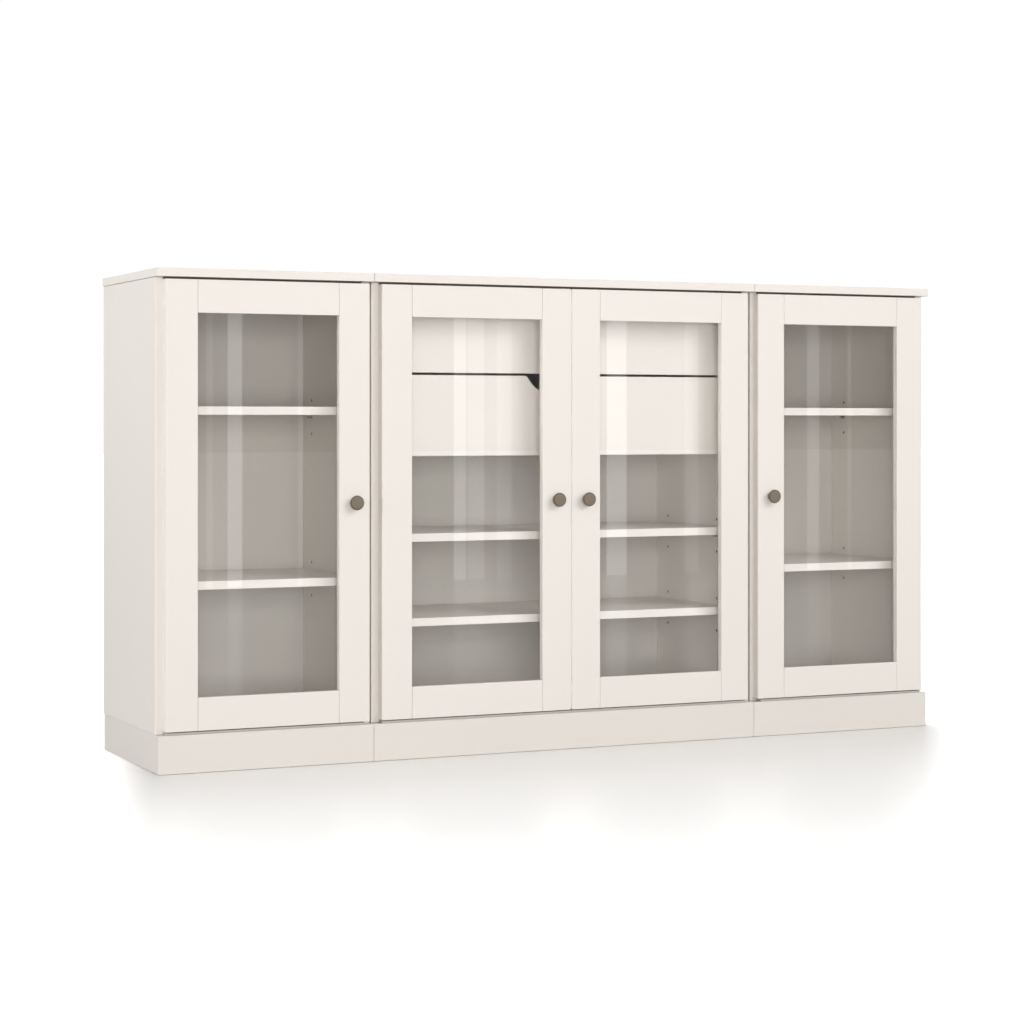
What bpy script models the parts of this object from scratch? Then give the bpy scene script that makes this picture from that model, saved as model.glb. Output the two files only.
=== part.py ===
"""A run of three glass-door display cabinets standing side by side, as separate named solids.

The left and right units have one door each and two shelves. The middle unit is twice as wide and has
a pair of doors, two drawers over an open space, and two shelves. Every unit has its own top, side
panels, bottom, back and plinth. Metres, +Z up, +X to the right along the front, the doors face -Y,
and the origin is the middle of the footprint on the floor.
"""
import math

import bmesh
import bpy
from mathutils import Matrix, Vector

# Overall sizes
HEIGHT = 0.890
SIDE_UNIT_WIDTH = 0.4085
MIDDLE_UNIT_WIDTH = 0.802
DOOR_TO_REAR = 0.362

# Boards and the small spaces between pieces
PANEL = 0.015
GAP = 0.0003
SEAM = 0.0006
ARRIS = 0.0008
CARCASS_INSET = 0.002
TOP_FRONT_OVERHANG = 0.0015
PLINTH_HEIGHT = 0.068
PLINTH_BOARD = 0.015
PLINTH_END_INSET = 0.003
PLINTH_FRONT_INSET = 0.0015
PLINTH_REAR_INSET = 0.002
BACK_THICKNESS = 0.003
BACK_INSET = 0.0238
GROOVE_DEPTH = 0.005
GROOVE_CLEARANCE = 0.0003

# Shelves: spaces are counted down from the top or up from the bottom panel
SHELF_SETBACK = 0.020
SHELF_SIDE_CLEARANCE = 0.001
SHELF_REAR_CLEARANCE = 0.003
SIDE_TOP_SPACE = 0.228
SIDE_BOTTOM_SPACE = 0.2366
UNDER_DRAWER_SPACE = 0.1437
MIDDLE_SHELF_SPACE = 0.142

# Doors
DOOR_THICKNESS = 0.018
DOOR_BUMPER_GAP = 0.0025
DOOR_HEAD_GAP = 0.004
DOOR_FOOT_GAP = 0.006
DOOR_OVERLAY = 0.0015
DOOR_FREE_MARGIN = 0.009
DOOR_MEETING_GAP = 0.0036
FRAME_WIDTH = 0.059
GLASS_RECESS = 0.008
GLASS_THICKNESS = 0.004
REBATE = 0.008

# Knobs
KNOB_PROJECTION = 0.016
KNOB_HEAD_RADIUS = 0.0133
KNOB_HEAD_THICKNESS = 0.0055
KNOB_NECK_RADIUS = 0.0055
KNOB_FOOT_RADIUS = 0.0085
KNOB_FOOT_THICKNESS = 0.002
KNOB_SEGMENTS = 28

# Concealed hinges
HINGE_FROM_DOOR_END = 0.088
PIVOT_DEPTH = 0.003
CUP_SETBACK = 0.022
CUP_BORE_RADIUS = 0.0175
CUP_BORE_DEPTH = 0.0118
CUP_WALL = 0.0015
CUP_SEGMENTS = 24
FLANGE_WIDTH = 0.020
FLANGE_LENGTH = 0.062
FLANGE_THICKNESS = 0.0013
LINK_WIDTH = 0.009
CHEEK_GAP = 0.001
CHEEK_THICKNESS = 0.002
ARM_HEIGHT = 0.0125
ARM_START = 0.014
ARM_END = 0.062
NOSE_FRONT = 0.005
NOSE_WIDTH = 0.0047
PLATE_LENGTH = 0.054
PLATE_WIDTH = 0.027
PLATE_THICKNESS = 0.0025
PLATE_FROM_EDGE = 0.037

# Drawers and what carries them
DRAWER_FRONT_HEIGHT = 0.1516
DRAWER_FRONT_THICKNESS = 0.015
DRAWER_HEAD_GAP = 0.0122
DRAWER_MEETING_GAP = 0.0043
DRAWER_SIDE_CLEARANCE = 0.002
DRAWER_FRONT_SETBACK = 0.038
DRAWER_BOX_LIFT = 0.008
DRAWER_BOX_HEIGHT = 0.108
DRAWER_REAR_CLEARANCE = 0.0139
DRAWER_WALL = 0.012
DRAWER_FLOOR = 0.004
DRAWER_FLOOR_RECESS = 0.006
RUNNER_SPACE = 0.0127
RUNNER_THICKNESS = 0.003
RUNNER_SHELF = 0.020
SPACER_THICKNESS = 0.020
SPACER_SETBACK = 0.0635
NOTCH_HALF_WIDTH = 0.067
NOTCH_SLOPE = math.radians(57)
NOTCH_STRAIGHT = 0.014
NOTCH_RADIUS = 0.040
NOTCH_STEPS = 5

# Levels and planes worked out from the sizes above
WIDTH = 2 * SIDE_UNIT_WIDTH + MIDDLE_UNIT_WIDTH
Y_DOOR = (KNOB_PROJECTION - DOOR_TO_REAR) / 2
Y_REAR = Y_DOOR + DOOR_TO_REAR
Y_DOOR_BACK = Y_DOOR + DOOR_THICKNESS
Y_PIVOT = Y_DOOR_BACK - PIVOT_DEPTH
Y_CARCASS = Y_DOOR_BACK + DOOR_BUMPER_GAP
Y_BACK_PANEL = Y_REAR - BACK_INSET - BACK_THICKNESS
Y_SHELF = Y_CARCASS + SHELF_SETBACK
Y_DRAWER = Y_DOOR_BACK + DRAWER_FRONT_SETBACK
Y_SPACER = Y_CARCASS + SPACER_SETBACK
Z_UNDER_TOP = HEIGHT - PANEL
Z_BOTTOM_PANEL = PLINTH_HEIGHT + GAP
Z_FLOOR = Z_BOTTOM_PANEL + PANEL
Z_DOOR_BOTTOM = PLINTH_HEIGHT + DOOR_FOOT_GAP
Z_DOOR_TOP = Z_UNDER_TOP - DOOR_HEAD_GAP
Z_KNOB = (Z_DOOR_BOTTOM + Z_DOOR_TOP) / 2
Z_UPPER_DRAWER = Z_UNDER_TOP - DRAWER_HEAD_GAP - DRAWER_FRONT_HEIGHT
Z_LOWER_DRAWER = Z_UPPER_DRAWER - DRAWER_MEETING_GAP - DRAWER_FRONT_HEIGHT
HINGE_MARGIN = CARCASS_INSET + PANEL - DOOR_OVERLAY
X_EDGES = (-WIDTH / 2, SIDE_UNIT_WIDTH - WIDTH / 2, WIDTH / 2 - SIDE_UNIT_WIDTH, WIDTH / 2)
UNITS = ("left", "middle", "right")

PAINT = (0.86, 0.83, 0.79)
MATERIALS = {
    "painted_board": (PAINT, 0.38, 0.0),
    "back_board": ((0.80, 0.78, 0.74), 0.5, 0.0),
    "drawer_board": ((0.84, 0.82, 0.78), 0.45, 0.0),
    "clear_glass": ((0.92, 0.95, 0.94), 0.03, 0.0),
    "bronze": ((0.27, 0.235, 0.195), 0.36, 0.85),
    "hinge_steel": ((0.62, 0.62, 0.61), 0.28, 1.0),
}


def clear_scene():
    """Remove every object that the scene starts with."""
    for existing in list(bpy.data.objects):
        bpy.data.objects.remove(existing, do_unlink=True)


def make_materials():
    """Give each finish its Principled BSDF."""
    made = {}
    for name, (colour, roughness, metallic) in MATERIALS.items():
        finish = bpy.data.materials.new(name)
        finish.use_nodes = True
        shader = finish.node_tree.nodes["Principled BSDF"]
        shader.inputs["Base Color"].default_value = (*colour, 1.0)
        shader.inputs["Roughness"].default_value = roughness
        shader.inputs["Metallic"].default_value = metallic
        if name == "clear_glass":
            shader.inputs["Transmission Weight"].default_value = 1.0
        made[name] = finish
    return made


def mesh_from(name, points, faces):
    """Make a mesh with its faces turned outwards."""
    build = bmesh.new()
    corners = [build.verts.new(point) for point in points]
    for face in faces:
        build.faces.new([corners[index] for index in face])
    bmesh.ops.recalc_face_normals(build, faces=build.faces)
    mesh = bpy.data.meshes.new(name)
    build.to_mesh(mesh)
    build.free()
    return mesh


def place(name, mesh, location, finish, parent=None, turn=0.0):
    """Make a named object at a world location, turned about Y, and hang it on its parent."""
    piece = bpy.data.objects.new(name, mesh)
    bpy.context.scene.collection.objects.link(piece)
    piece.location = Vector(location) - (parent.location if parent else Vector())
    piece.rotation_euler = (0.0, turn, 0.0)
    piece.parent = parent
    if finish is not None:
        mesh.materials.clear()
        mesh.materials.append(finish)
    return piece


def soften(piece, width=ARRIS):
    """Take the sharp arris off a board."""
    bevel = piece.modifiers.new("arris", "BEVEL")
    bevel.width = width
    bevel.segments = 1
    bevel.limit_method = "ANGLE"
    return piece


def box_mesh(name, size):
    """A block centred on its own origin."""
    half = [length / 2 for length in size]
    points = [
        (sx * half[0], sy * half[1], sz * half[2])
        for sz in (-1, 1) for sx, sy in ((-1, -1), (1, -1), (1, 1), (-1, 1))
    ]
    faces = [(0, 3, 2, 1), (4, 5, 6, 7)]
    faces += [(i, (i + 1) % 4, (i + 1) % 4 + 4, i + 4) for i in range(4)]
    return mesh_from(name, points, faces)


def board(name, low, high, finish, parent=None):
    """A plain board between two opposite corners."""
    low = Vector(low)
    high = Vector(high)
    return soften(place(name, box_mesh(name, high - low), (low + high) / 2, finish, parent))


def loops_mesh(name, loops, closed):
    """Bridge rectangles (x0, x1, y0, y1, z) in order, into a ring or into a body with two caps."""
    points = []
    for x0, x1, y0, y1, z in loops:
        points += [(x0, y0, z), (x1, y0, z), (x1, y1, z), (x0, y1, z)]
    faces = []
    spans = len(loops) if closed else len(loops) - 1
    for span in range(spans):
        a = 4 * span
        b = 4 * ((span + 1) % len(loops))
        faces += [(a + i, a + (i + 1) % 4, b + (i + 1) % 4, b + i) for i in range(4)]
    if not closed:
        faces += [(0, 1, 2, 3), tuple(4 * spans + i for i in range(4))]
    return mesh_from(name, points, faces)


def prism_mesh(name, outline, half_depth, axes):
    """Extrude a flat outline to both sides of its plane; axes places (u, v, w) on x, y and z."""
    points = []
    for side in (-1, 1):
        for u, v in outline:
            spot = [0.0, 0.0, 0.0]
            for value, axis in zip((u, v, side * half_depth), axes):
                spot[axis] = value
            points.append(spot)
    count = len(outline)
    faces = [tuple(range(count)), tuple(range(2 * count - 1, count - 1, -1))]
    faces += [(i, (i + 1) % count, (i + 1) % count + count, i + count) for i in range(count)]
    return mesh_from(name, points, faces)


def turned_mesh(name, profile, segments):
    """Turn a profile of (radius, y) about the Y axis and cap both ends."""
    points = []
    for radius, y in profile:
        for step in range(segments):
            angle = 2 * math.pi * step / segments
            points.append((radius * math.cos(angle), y, radius * math.sin(angle)))
    faces = [tuple(range(segments)), tuple(range(len(points) - segments, len(points)))]
    for ring in range(len(profile) - 1):
        a = ring * segments
        b = a + segments
        faces += [
            (a + i, a + (i + 1) % segments, b + (i + 1) % segments, b + i) for i in range(segments)
        ]
    return mesh_from(name, points, faces)


def combine(name, base, steps):
    """Apply Boolean steps (operation, mesh, location) to a mesh and return the evaluated result."""
    body = place(name, base, (0, 0, 0), None)
    helpers = []
    for operation, mesh, location in steps:
        helper = place(name + "_helper", mesh, location, None)
        helper.hide_render = True
        helper.display_type = "WIRE"
        helpers.append(helper)
        boolean = body.modifiers.new(operation.lower(), "BOOLEAN")
        boolean.operation = operation
        boolean.solver = "EXACT"
        boolean.object = helper
    graph = bpy.context.evaluated_depsgraph_get()
    result = bpy.data.meshes.new_from_object(body.evaluated_get(graph))
    for spent in [body] + helpers:
        bpy.data.objects.remove(spent, do_unlink=True)
    return result


def axis_empty(name, location):
    """An empty on a joint's axis, which carries the pieces that move on it."""
    empty = bpy.data.objects.new(name, None)
    bpy.context.scene.collection.objects.link(empty)
    empty.location = location
    return empty


def unit_span(index, end_inset):
    """The two ends of a unit in X: inset at the run's own ends, a seam where units meet."""
    low = X_EDGES[index] + (end_inset if index == 0 else SEAM / 2)
    high = X_EDGES[index + 1] - (end_inset if index == 2 else SEAM / 2)
    return low, high


def inner_span(index):
    """The inner faces of a unit's two side panels."""
    reach = CARCASS_INSET + PANEL
    return X_EDGES[index] + reach, X_EDGES[index + 1] - reach


def side_panel(name, x_outer, inward, finish):
    """A side panel with a groove near its rear edge for the back; inward is +1 or -1 in X."""
    depth = Y_REAR - Y_CARCASS
    height = Z_UNDER_TOP - PLINTH_HEIGHT - 2 * GAP
    groove_front = Y_BACK_PANEL - GROOVE_CLEARANCE - Y_CARCASS
    groove_rear = groove_front + BACK_THICKNESS + 2 * GROOVE_CLEARANCE
    face = inward * PANEL
    groove = inward * (PANEL - GROOVE_DEPTH)
    outline = [
        (0, 0), (face, 0), (face, groove_front), (groove, groove_front),
        (groove, groove_rear), (face, groove_rear), (face, depth), (0, depth),
    ]
    mesh = prism_mesh(name, outline, height / 2, (0, 1, 2))
    middle = PLINTH_HEIGHT + GAP + height / 2
    return soften(place(name, mesh, (x_outer, Y_CARCASS, middle), finish))


def carcass(index, finishes):
    """The fixed boards of one unit."""
    unit = UNITS[index]
    paint = finishes["painted_board"]
    x0, x1 = unit_span(index, 0.0)
    board(f"{unit}_top_panel", (x0, Y_DOOR - TOP_FRONT_OVERHANG, Z_UNDER_TOP), (x1, Y_REAR, HEIGHT), paint)
    side_panel(f"{unit}_side_panel_l", X_EDGES[index] + CARCASS_INSET, 1, paint)
    side_panel(f"{unit}_side_panel_r", X_EDGES[index + 1] - CARCASS_INSET, -1, paint)
    inner0, inner1 = inner_span(index)
    board(
        f"{unit}_bottom_panel",
        (inner0 + GAP, Y_CARCASS, Z_BOTTOM_PANEL),
        (inner1 - GAP, Y_REAR, Z_FLOOR), paint,
    )
    tongue = GROOVE_DEPTH - GROOVE_CLEARANCE
    board(
        f"{unit}_back_panel",
        (inner0 - tongue, Y_BACK_PANEL, Z_FLOOR + GAP),
        (inner1 + tongue, Y_BACK_PANEL + BACK_THICKNESS, Z_UNDER_TOP - GAP), finishes["back_board"],
    )
    plinth(index, paint)


def plinth(index, finish):
    """The plinth of one unit: a ring of boards on edge, standing on the floor."""
    x0, x1 = unit_span(index, PLINTH_END_INSET)
    y0 = Y_DOOR + PLINTH_FRONT_INSET
    y1 = Y_REAR - PLINTH_REAR_INSET
    outer = (x0, x1, y0, y1)
    inner = (x0 + PLINTH_BOARD, x1 - PLINTH_BOARD, y0 + PLINTH_BOARD, y1 - PLINTH_BOARD)
    loops = [(*outer, 0.0), (*outer, PLINTH_HEIGHT), (*inner, PLINTH_HEIGHT), (*inner, 0.0)]
    name = f"{UNITS[index]}_plinth"
    soften(place(name, loops_mesh(name, loops, True), (0, 0, 0), finish))


def shelf(name, x0, x1, z_top, finish):
    """A loose shelf between two walls."""
    board(
        name,
        (x0 + SHELF_SIDE_CLEARANCE, Y_SHELF, z_top - PANEL),
        (x1 - SHELF_SIDE_CLEARANCE, Y_BACK_PANEL - SHELF_REAR_CLEARANCE, z_top), finish,
    )


def shelves(finish):
    """Two shelves in each side unit and two under the drawers."""
    for index in (0, 2):
        x0, x1 = inner_span(index)
        shelf(f"{UNITS[index]}_shelf_upper", x0, x1, Z_UNDER_TOP - SIDE_TOP_SPACE, finish)
        shelf(f"{UNITS[index]}_shelf_lower", x0, x1, Z_FLOOR + SIDE_BOTTOM_SPACE + PANEL, finish)
    x0, x1 = inner_span(1)
    x0 += SPACER_THICKNESS
    x1 -= SPACER_THICKNESS
    z_upper = Z_LOWER_DRAWER - UNDER_DRAWER_SPACE
    shelf("middle_shelf_upper", x0, x1, z_upper, finish)
    shelf("middle_shelf_lower", x0, x1, z_upper - PANEL - MIDDLE_SHELF_SPACE, finish)


def hinge_cup_mesh():
    """The moving half of a concealed hinge, with its origin at the door's back outer edge.

    The door's back face is the plane y = 0 and the door lies to -y; +x runs along the door away from
    the hinged edge. The cup sits in its bore, the flange lies on the door, and the link reaches out
    of the cup into the arm's nose.
    """
    radius = CUP_BORE_RADIUS - GAP
    depth = CUP_BORE_DEPTH - 2 * GAP
    flange_top = GAP + FLANGE_THICKNESS
    cup = turned_mesh("cup", [(radius, -depth), (radius, flange_top)], CUP_SEGMENTS)
    flange = box_mesh("flange", (FLANGE_WIDTH, FLANGE_THICKNESS, FLANGE_LENGTH))
    hollow_depth = depth - CUP_WALL
    hollow = turned_mesh(
        "hollow", [(radius - CUP_WALL, -hollow_depth), (radius - CUP_WALL, 2 * flange_top)], CUP_SEGMENTS,
    )
    link_outline = [
        (-0.009, -depth + CUP_WALL / 2), (-0.0065, -depth + CUP_WALL / 2), (-0.0085, -0.002),
        (-0.0173, 0.0116), (-0.0190, 0.0106), (-0.0110, -0.003),
    ]
    link = prism_mesh("link", link_outline, LINK_WIDTH / 2, (0, 1, 2))
    steps = [
        ("UNION", flange, (0, GAP + FLANGE_THICKNESS / 2, 0)),
        ("DIFFERENCE", hollow, (0, 0, 0)),
        ("UNION", link, (0, 0, 0)),
    ]
    mesh = combine("hinge_cup", cup, steps)
    mesh.transform(Matrix.Translation((CUP_SETBACK, 0, 0)))
    return mesh


def hinge_arm_mesh():
    """The fixed half of a concealed hinge, in the same frame: plate, arm and two-cheeked nose."""
    wall = DOOR_OVERLAY + GAP
    half_arm = LINK_WIDTH / 2 + CHEEK_GAP + CHEEK_THICKNESS
    arm = loops_mesh("arm", [
        (wall + PLATE_THICKNESS / 2, wall + ARM_HEIGHT, ARM_START, ARM_END, -half_arm),
        (wall + PLATE_THICKNESS / 2, wall + ARM_HEIGHT, ARM_START, ARM_END, half_arm),
    ], False)
    x_nose = wall + ARM_HEIGHT
    cheek_outline = [
        (wall + PLATE_THICKNESS, ARM_START + 0.002), (wall + PLATE_THICKNESS, 0.006),
        (x_nose - NOSE_WIDTH, 0.001), (x_nose - NOSE_WIDTH, -NOSE_FRONT), (x_nose, -NOSE_FRONT),
        (x_nose, ARM_START + 0.002),
    ]
    plate = box_mesh("plate", (PLATE_THICKNESS, PLATE_WIDTH, PLATE_LENGTH))
    plate_middle = DOOR_BUMPER_GAP + PLATE_FROM_EDGE
    steps = [("UNION", plate, (wall + PLATE_THICKNESS / 2, plate_middle, 0))]
    for side in (-1, 1):
        cheek = prism_mesh("cheek", cheek_outline, CHEEK_THICKNESS / 2, (0, 1, 2))
        steps.append(("UNION", cheek, (0, 0, side * (half_arm - CHEEK_THICKNESS / 2))))
    return combine("hinge_arm", arm, steps)


def knob_mesh():
    """A turned knob on a short neck; the door's face is the plane y = 0."""
    head = KNOB_PROJECTION - KNOB_HEAD_THICKNESS
    profile = [
        (KNOB_FOOT_RADIUS, -GAP),
        (KNOB_FOOT_RADIUS, -KNOB_FOOT_THICKNESS),
        (KNOB_NECK_RADIUS, -KNOB_FOOT_THICKNESS - 0.002),
        (KNOB_NECK_RADIUS, -head + 0.002),
        (KNOB_HEAD_RADIUS - 0.003, -head),
        (KNOB_HEAD_RADIUS, -head - 0.0015),
        (KNOB_HEAD_RADIUS, -KNOB_PROJECTION + 0.0015),
        (KNOB_HEAD_RADIUS - 0.0015, -KNOB_PROJECTION),
    ]
    return turned_mesh("knob", profile, KNOB_SEGMENTS)


def door_frame_mesh(width, hinge_side):
    """A door frame with a rebate for the pane and two bores for the hinge cups.

    The mesh stands with its centre on the origin in X and Z and its front face at y = 0; hinge_side
    is -1 when the door hangs on its left edge and +1 on its right.
    """
    height = Z_DOOR_TOP - Z_DOOR_BOTTOM
    section = (
        (ARRIS, 0.0), (FRAME_WIDTH - ARRIS, 0.0), (FRAME_WIDTH, ARRIS), (FRAME_WIDTH, GLASS_RECESS),
        (FRAME_WIDTH - REBATE, GLASS_RECESS), (FRAME_WIDTH - REBATE, DOOR_THICKNESS),
        (ARRIS, DOOR_THICKNESS), (0.0, DOOR_THICKNESS - ARRIS), (0.0, ARRIS),
    )
    loops = [
        (-width / 2 + inset, width / 2 - inset, -height / 2 + inset, height / 2 - inset, depth)
        for inset, depth in section
    ]
    frame = loops_mesh("door_frame", loops, True)
    for corner in frame.vertices:
        corner.co = (corner.co.x, corner.co.z, corner.co.y)
    frame.flip_normals()
    steps = []
    for end in (-1, 1):
        profile = [(CUP_BORE_RADIUS, -CUP_BORE_DEPTH), (CUP_BORE_RADIUS, 0.01)]
        bore = turned_mesh("bore", profile, CUP_SEGMENTS)
        x = hinge_side * (width / 2 - CUP_SETBACK)
        steps.append(("DIFFERENCE", bore, (x, DOOR_THICKNESS, end * (height / 2 - HINGE_FROM_DOOR_END))))
    return combine("door_frame", frame, steps)


def door(name, x0, x1, hinge_side, finishes, cup, arm, knob):
    """One door with its pane, knob and the moving halves of its hinges, and the arms it hangs on."""
    x_axis = x1 if hinge_side > 0 else x0
    axis = axis_empty(f"{name}_axis", (x_axis, Y_PIVOT, 0))
    middle = (x0 + x1) / 2
    place(
        f"{name}_frame", door_frame_mesh(x1 - x0, hinge_side), (middle, Y_DOOR, Z_KNOB),
        finishes["painted_board"], axis,
    )
    pane_inset = FRAME_WIDTH - REBATE + GAP
    pane_front = Y_DOOR + GLASS_RECESS + GAP
    pane = box_mesh("pane", (
        x1 - x0 - 2 * pane_inset, GLASS_THICKNESS, Z_DOOR_TOP - Z_DOOR_BOTTOM - 2 * pane_inset,
    ))
    place(
        f"{name}_glass", pane, (middle, pane_front + GLASS_THICKNESS / 2, Z_KNOB),
        finishes["clear_glass"], axis,
    )
    x_knob = x0 + FRAME_WIDTH / 2 if hinge_side > 0 else x1 - FRAME_WIDTH / 2
    place(f"{name}_knob", knob, (x_knob, Y_DOOR, Z_KNOB), finishes["bronze"], axis)
    turn = math.pi if hinge_side > 0 else 0.0
    for label, z in (
        ("upper", Z_DOOR_TOP - HINGE_FROM_DOOR_END), ("lower", Z_DOOR_BOTTOM + HINGE_FROM_DOOR_END),
    ):
        spot = (x_axis, Y_DOOR_BACK, z)
        place(f"{name}_hinge_cup_{label}", cup, spot, finishes["hinge_steel"], axis, turn)
        place(f"{name}_hinge_arm_{label}", arm, spot, finishes["hinge_steel"], None, turn)


def doors(finishes):
    """A door on each side unit and a pair on the middle unit."""
    cup = hinge_cup_mesh()
    arm = hinge_arm_mesh()
    knob = knob_mesh()
    meeting = DOOR_MEETING_GAP / 2
    plan = (
        ("left_door", X_EDGES[0] + HINGE_MARGIN, X_EDGES[1] - DOOR_FREE_MARGIN, -1),
        ("middle_left_door", X_EDGES[1] + HINGE_MARGIN, -meeting, -1),
        ("middle_right_door", meeting, X_EDGES[2] - HINGE_MARGIN, 1),
        ("right_door", X_EDGES[2] + DOOR_FREE_MARGIN, X_EDGES[3] - HINGE_MARGIN, 1),
    )
    for name, x0, x1, hinge_side in plan:
        door(name, x0, x1, hinge_side, finishes, cup, arm, knob)


def notch_points():
    """The finger notch's outline from its right end to its left, as (x, z) from the front's top edge."""
    reach = NOTCH_STRAIGHT * math.cos(NOTCH_SLOPE)
    drop = NOTCH_STRAIGHT * math.sin(NOTCH_SLOPE)
    side = [(NOTCH_HALF_WIDTH, 0.0), (NOTCH_HALF_WIDTH - reach, -drop)]
    for step in range(1, NOTCH_STEPS + 1):
        angle = NOTCH_SLOPE * (1 - step / NOTCH_STEPS)
        along = NOTCH_RADIUS * (math.sin(NOTCH_SLOPE) - math.sin(angle))
        down = NOTCH_RADIUS * (math.cos(angle) - math.cos(NOTCH_SLOPE))
        side.append((NOTCH_HALF_WIDTH - reach - along, -drop - down))
    return side + [(-x, z) for x, z in reversed(side)]


def drawer(name, z0, finishes):
    """A drawer: its front board with the finger notch, and the box behind it."""
    inner0, inner1 = inner_span(1)
    half_front = (inner1 - inner0) / 2 - SPACER_THICKNESS - DRAWER_SIDE_CLEARANCE
    half_box = (inner1 - inner0) / 2 - SPACER_THICKNESS - RUNNER_SPACE
    slide = axis_empty(f"{name}_slide", (0, Y_DRAWER, z0))
    top = DRAWER_FRONT_HEIGHT
    outline = [(-half_front, 0), (half_front, 0), (half_front, top)]
    outline += [(x, top + z) for x, z in notch_points()]
    outline.append((-half_front, top))
    front = prism_mesh("drawer_front", outline, DRAWER_FRONT_THICKNESS / 2, (0, 2, 1))
    soften(place(
        f"{name}_front", front, (0, Y_DRAWER + DRAWER_FRONT_THICKNESS / 2, z0),
        finishes["painted_board"], slide,
    ))
    y0 = DRAWER_FRONT_THICKNESS + GAP
    y1 = Y_BACK_PANEL - DRAWER_REAR_CLEARANCE - Y_DRAWER
    outer = (-half_box, half_box, y0, y1)
    inner = (-half_box + DRAWER_WALL, half_box - DRAWER_WALL, y0 + DRAWER_WALL, y1 - DRAWER_WALL)
    z_low = DRAWER_BOX_LIFT
    z_high = z_low + DRAWER_BOX_HEIGHT
    floor_low = z_low + DRAWER_FLOOR_RECESS
    loops = [
        (*inner, floor_low), (*inner, z_low), (*outer, z_low), (*outer, z_high),
        (*inner, z_high), (*inner, floor_low + DRAWER_FLOOR),
    ]
    box = loops_mesh("drawer_box", loops, False)
    place(f"{name}_box", box, (0, Y_DRAWER, z0), finishes["drawer_board"], slide)


def drawer_spacers(finish):
    """The two panels that keep the drawers clear of the hinges, with the ledges the drawers run on."""
    inner0, inner1 = inner_span(1)
    for label, wall, inward in (("l", inner0, 1), ("r", inner1, -1)):
        x = wall + inward * (GAP + SPACER_THICKNESS / 2)
        y_end = Y_BACK_PANEL - GAP
        height = Z_UNDER_TOP - Z_FLOOR - 2 * GAP
        size = (SPACER_THICKNESS, y_end - Y_SPACER, height)
        panel = box_mesh("spacer", size)
        steps = []
        for z0 in (Z_LOWER_DRAWER, Z_UPPER_DRAWER):
            ledge = box_mesh("ledge", (RUNNER_SHELF + GAP, size[1] - 2 * ARRIS, RUNNER_THICKNESS))
            drop = z0 + DRAWER_BOX_LIFT - GAP - RUNNER_THICKNESS / 2 - (Z_FLOOR + GAP + height / 2)
            reach = inward * (SPACER_THICKNESS / 2 - GAP + (RUNNER_SHELF + GAP) / 2)
            steps.append(("UNION", ledge, (reach, 0, drop)))
        mesh = combine("drawer_spacer", panel, steps)
        middle = (x, (Y_SPACER + y_end) / 2, Z_FLOOR + GAP + height / 2)
        place(f"drawer_spacer_{label}", mesh, middle, finish)


def build():
    """Build the whole run."""
    clear_scene()
    finishes = make_materials()
    for index in range(3):
        carcass(index, finishes)
    shelves(finishes["painted_board"])
    drawer_spacers(finishes["painted_board"])
    doors(finishes)
    drawer("lower_drawer", Z_LOWER_DRAWER, finishes)
    drawer("upper_drawer", Z_UPPER_DRAWER, finishes)


build()
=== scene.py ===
"""Looks of a run of three glass-door display cabinets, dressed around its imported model.

Each sub-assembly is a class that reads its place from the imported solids, builds its own meshes and gives
them their finishes. Metres, +Z up, the doors face -Y.
"""

from __future__ import annotations

import logging
import math
from dataclasses import dataclass, field
from enum import Enum
from functools import cache
from typing import Callable, Iterator, Optional, Sequence

import bmesh
import bpy
from mathutils import Matrix, Vector


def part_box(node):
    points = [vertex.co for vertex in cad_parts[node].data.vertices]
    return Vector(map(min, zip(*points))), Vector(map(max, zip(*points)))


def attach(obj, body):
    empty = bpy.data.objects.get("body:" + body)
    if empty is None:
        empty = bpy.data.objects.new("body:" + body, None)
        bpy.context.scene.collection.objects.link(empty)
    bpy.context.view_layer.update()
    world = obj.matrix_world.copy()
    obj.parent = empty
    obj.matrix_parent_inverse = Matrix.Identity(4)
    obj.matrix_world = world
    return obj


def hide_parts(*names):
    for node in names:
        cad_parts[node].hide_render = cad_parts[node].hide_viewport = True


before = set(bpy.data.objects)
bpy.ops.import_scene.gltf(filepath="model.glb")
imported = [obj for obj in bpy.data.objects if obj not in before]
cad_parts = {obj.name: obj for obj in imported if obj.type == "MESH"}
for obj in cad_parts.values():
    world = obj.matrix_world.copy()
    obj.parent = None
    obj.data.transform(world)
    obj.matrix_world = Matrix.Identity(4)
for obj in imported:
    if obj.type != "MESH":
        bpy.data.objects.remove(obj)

LOG = logging.getLogger("cabinets")

Colour = tuple[float, float, float]
Point = tuple[float, float, float]


class Slot(Enum):
    """The record's material slots."""

    PAINT = "painted_board"
    BACK = "back_board"
    DRAWER = "drawer_board"
    GLASS = "clear_glass"
    BRONZE = "bronze"
    STEEL = "hinge_steel"


class Body(Enum):
    """The bodies that pieces ride on."""

    CARCASS = "carcass"
    LEFT_DOOR = "left_door"
    MIDDLE_LEFT_DOOR = "middle_left_door"
    MIDDLE_RIGHT_DOOR = "middle_right_door"
    RIGHT_DOOR = "right_door"
    UPPER_DRAWER = "upper_drawer"
    LOWER_DRAWER = "lower_drawer"


class Unit(Enum):
    """The three cabinets of the run."""

    LEFT = "left"
    MIDDLE = "middle"
    RIGHT = "right"


class Hand(Enum):
    """The side that a door hangs on, or that a wall faces away from."""

    LEFT = -1
    RIGHT = 1


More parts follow.
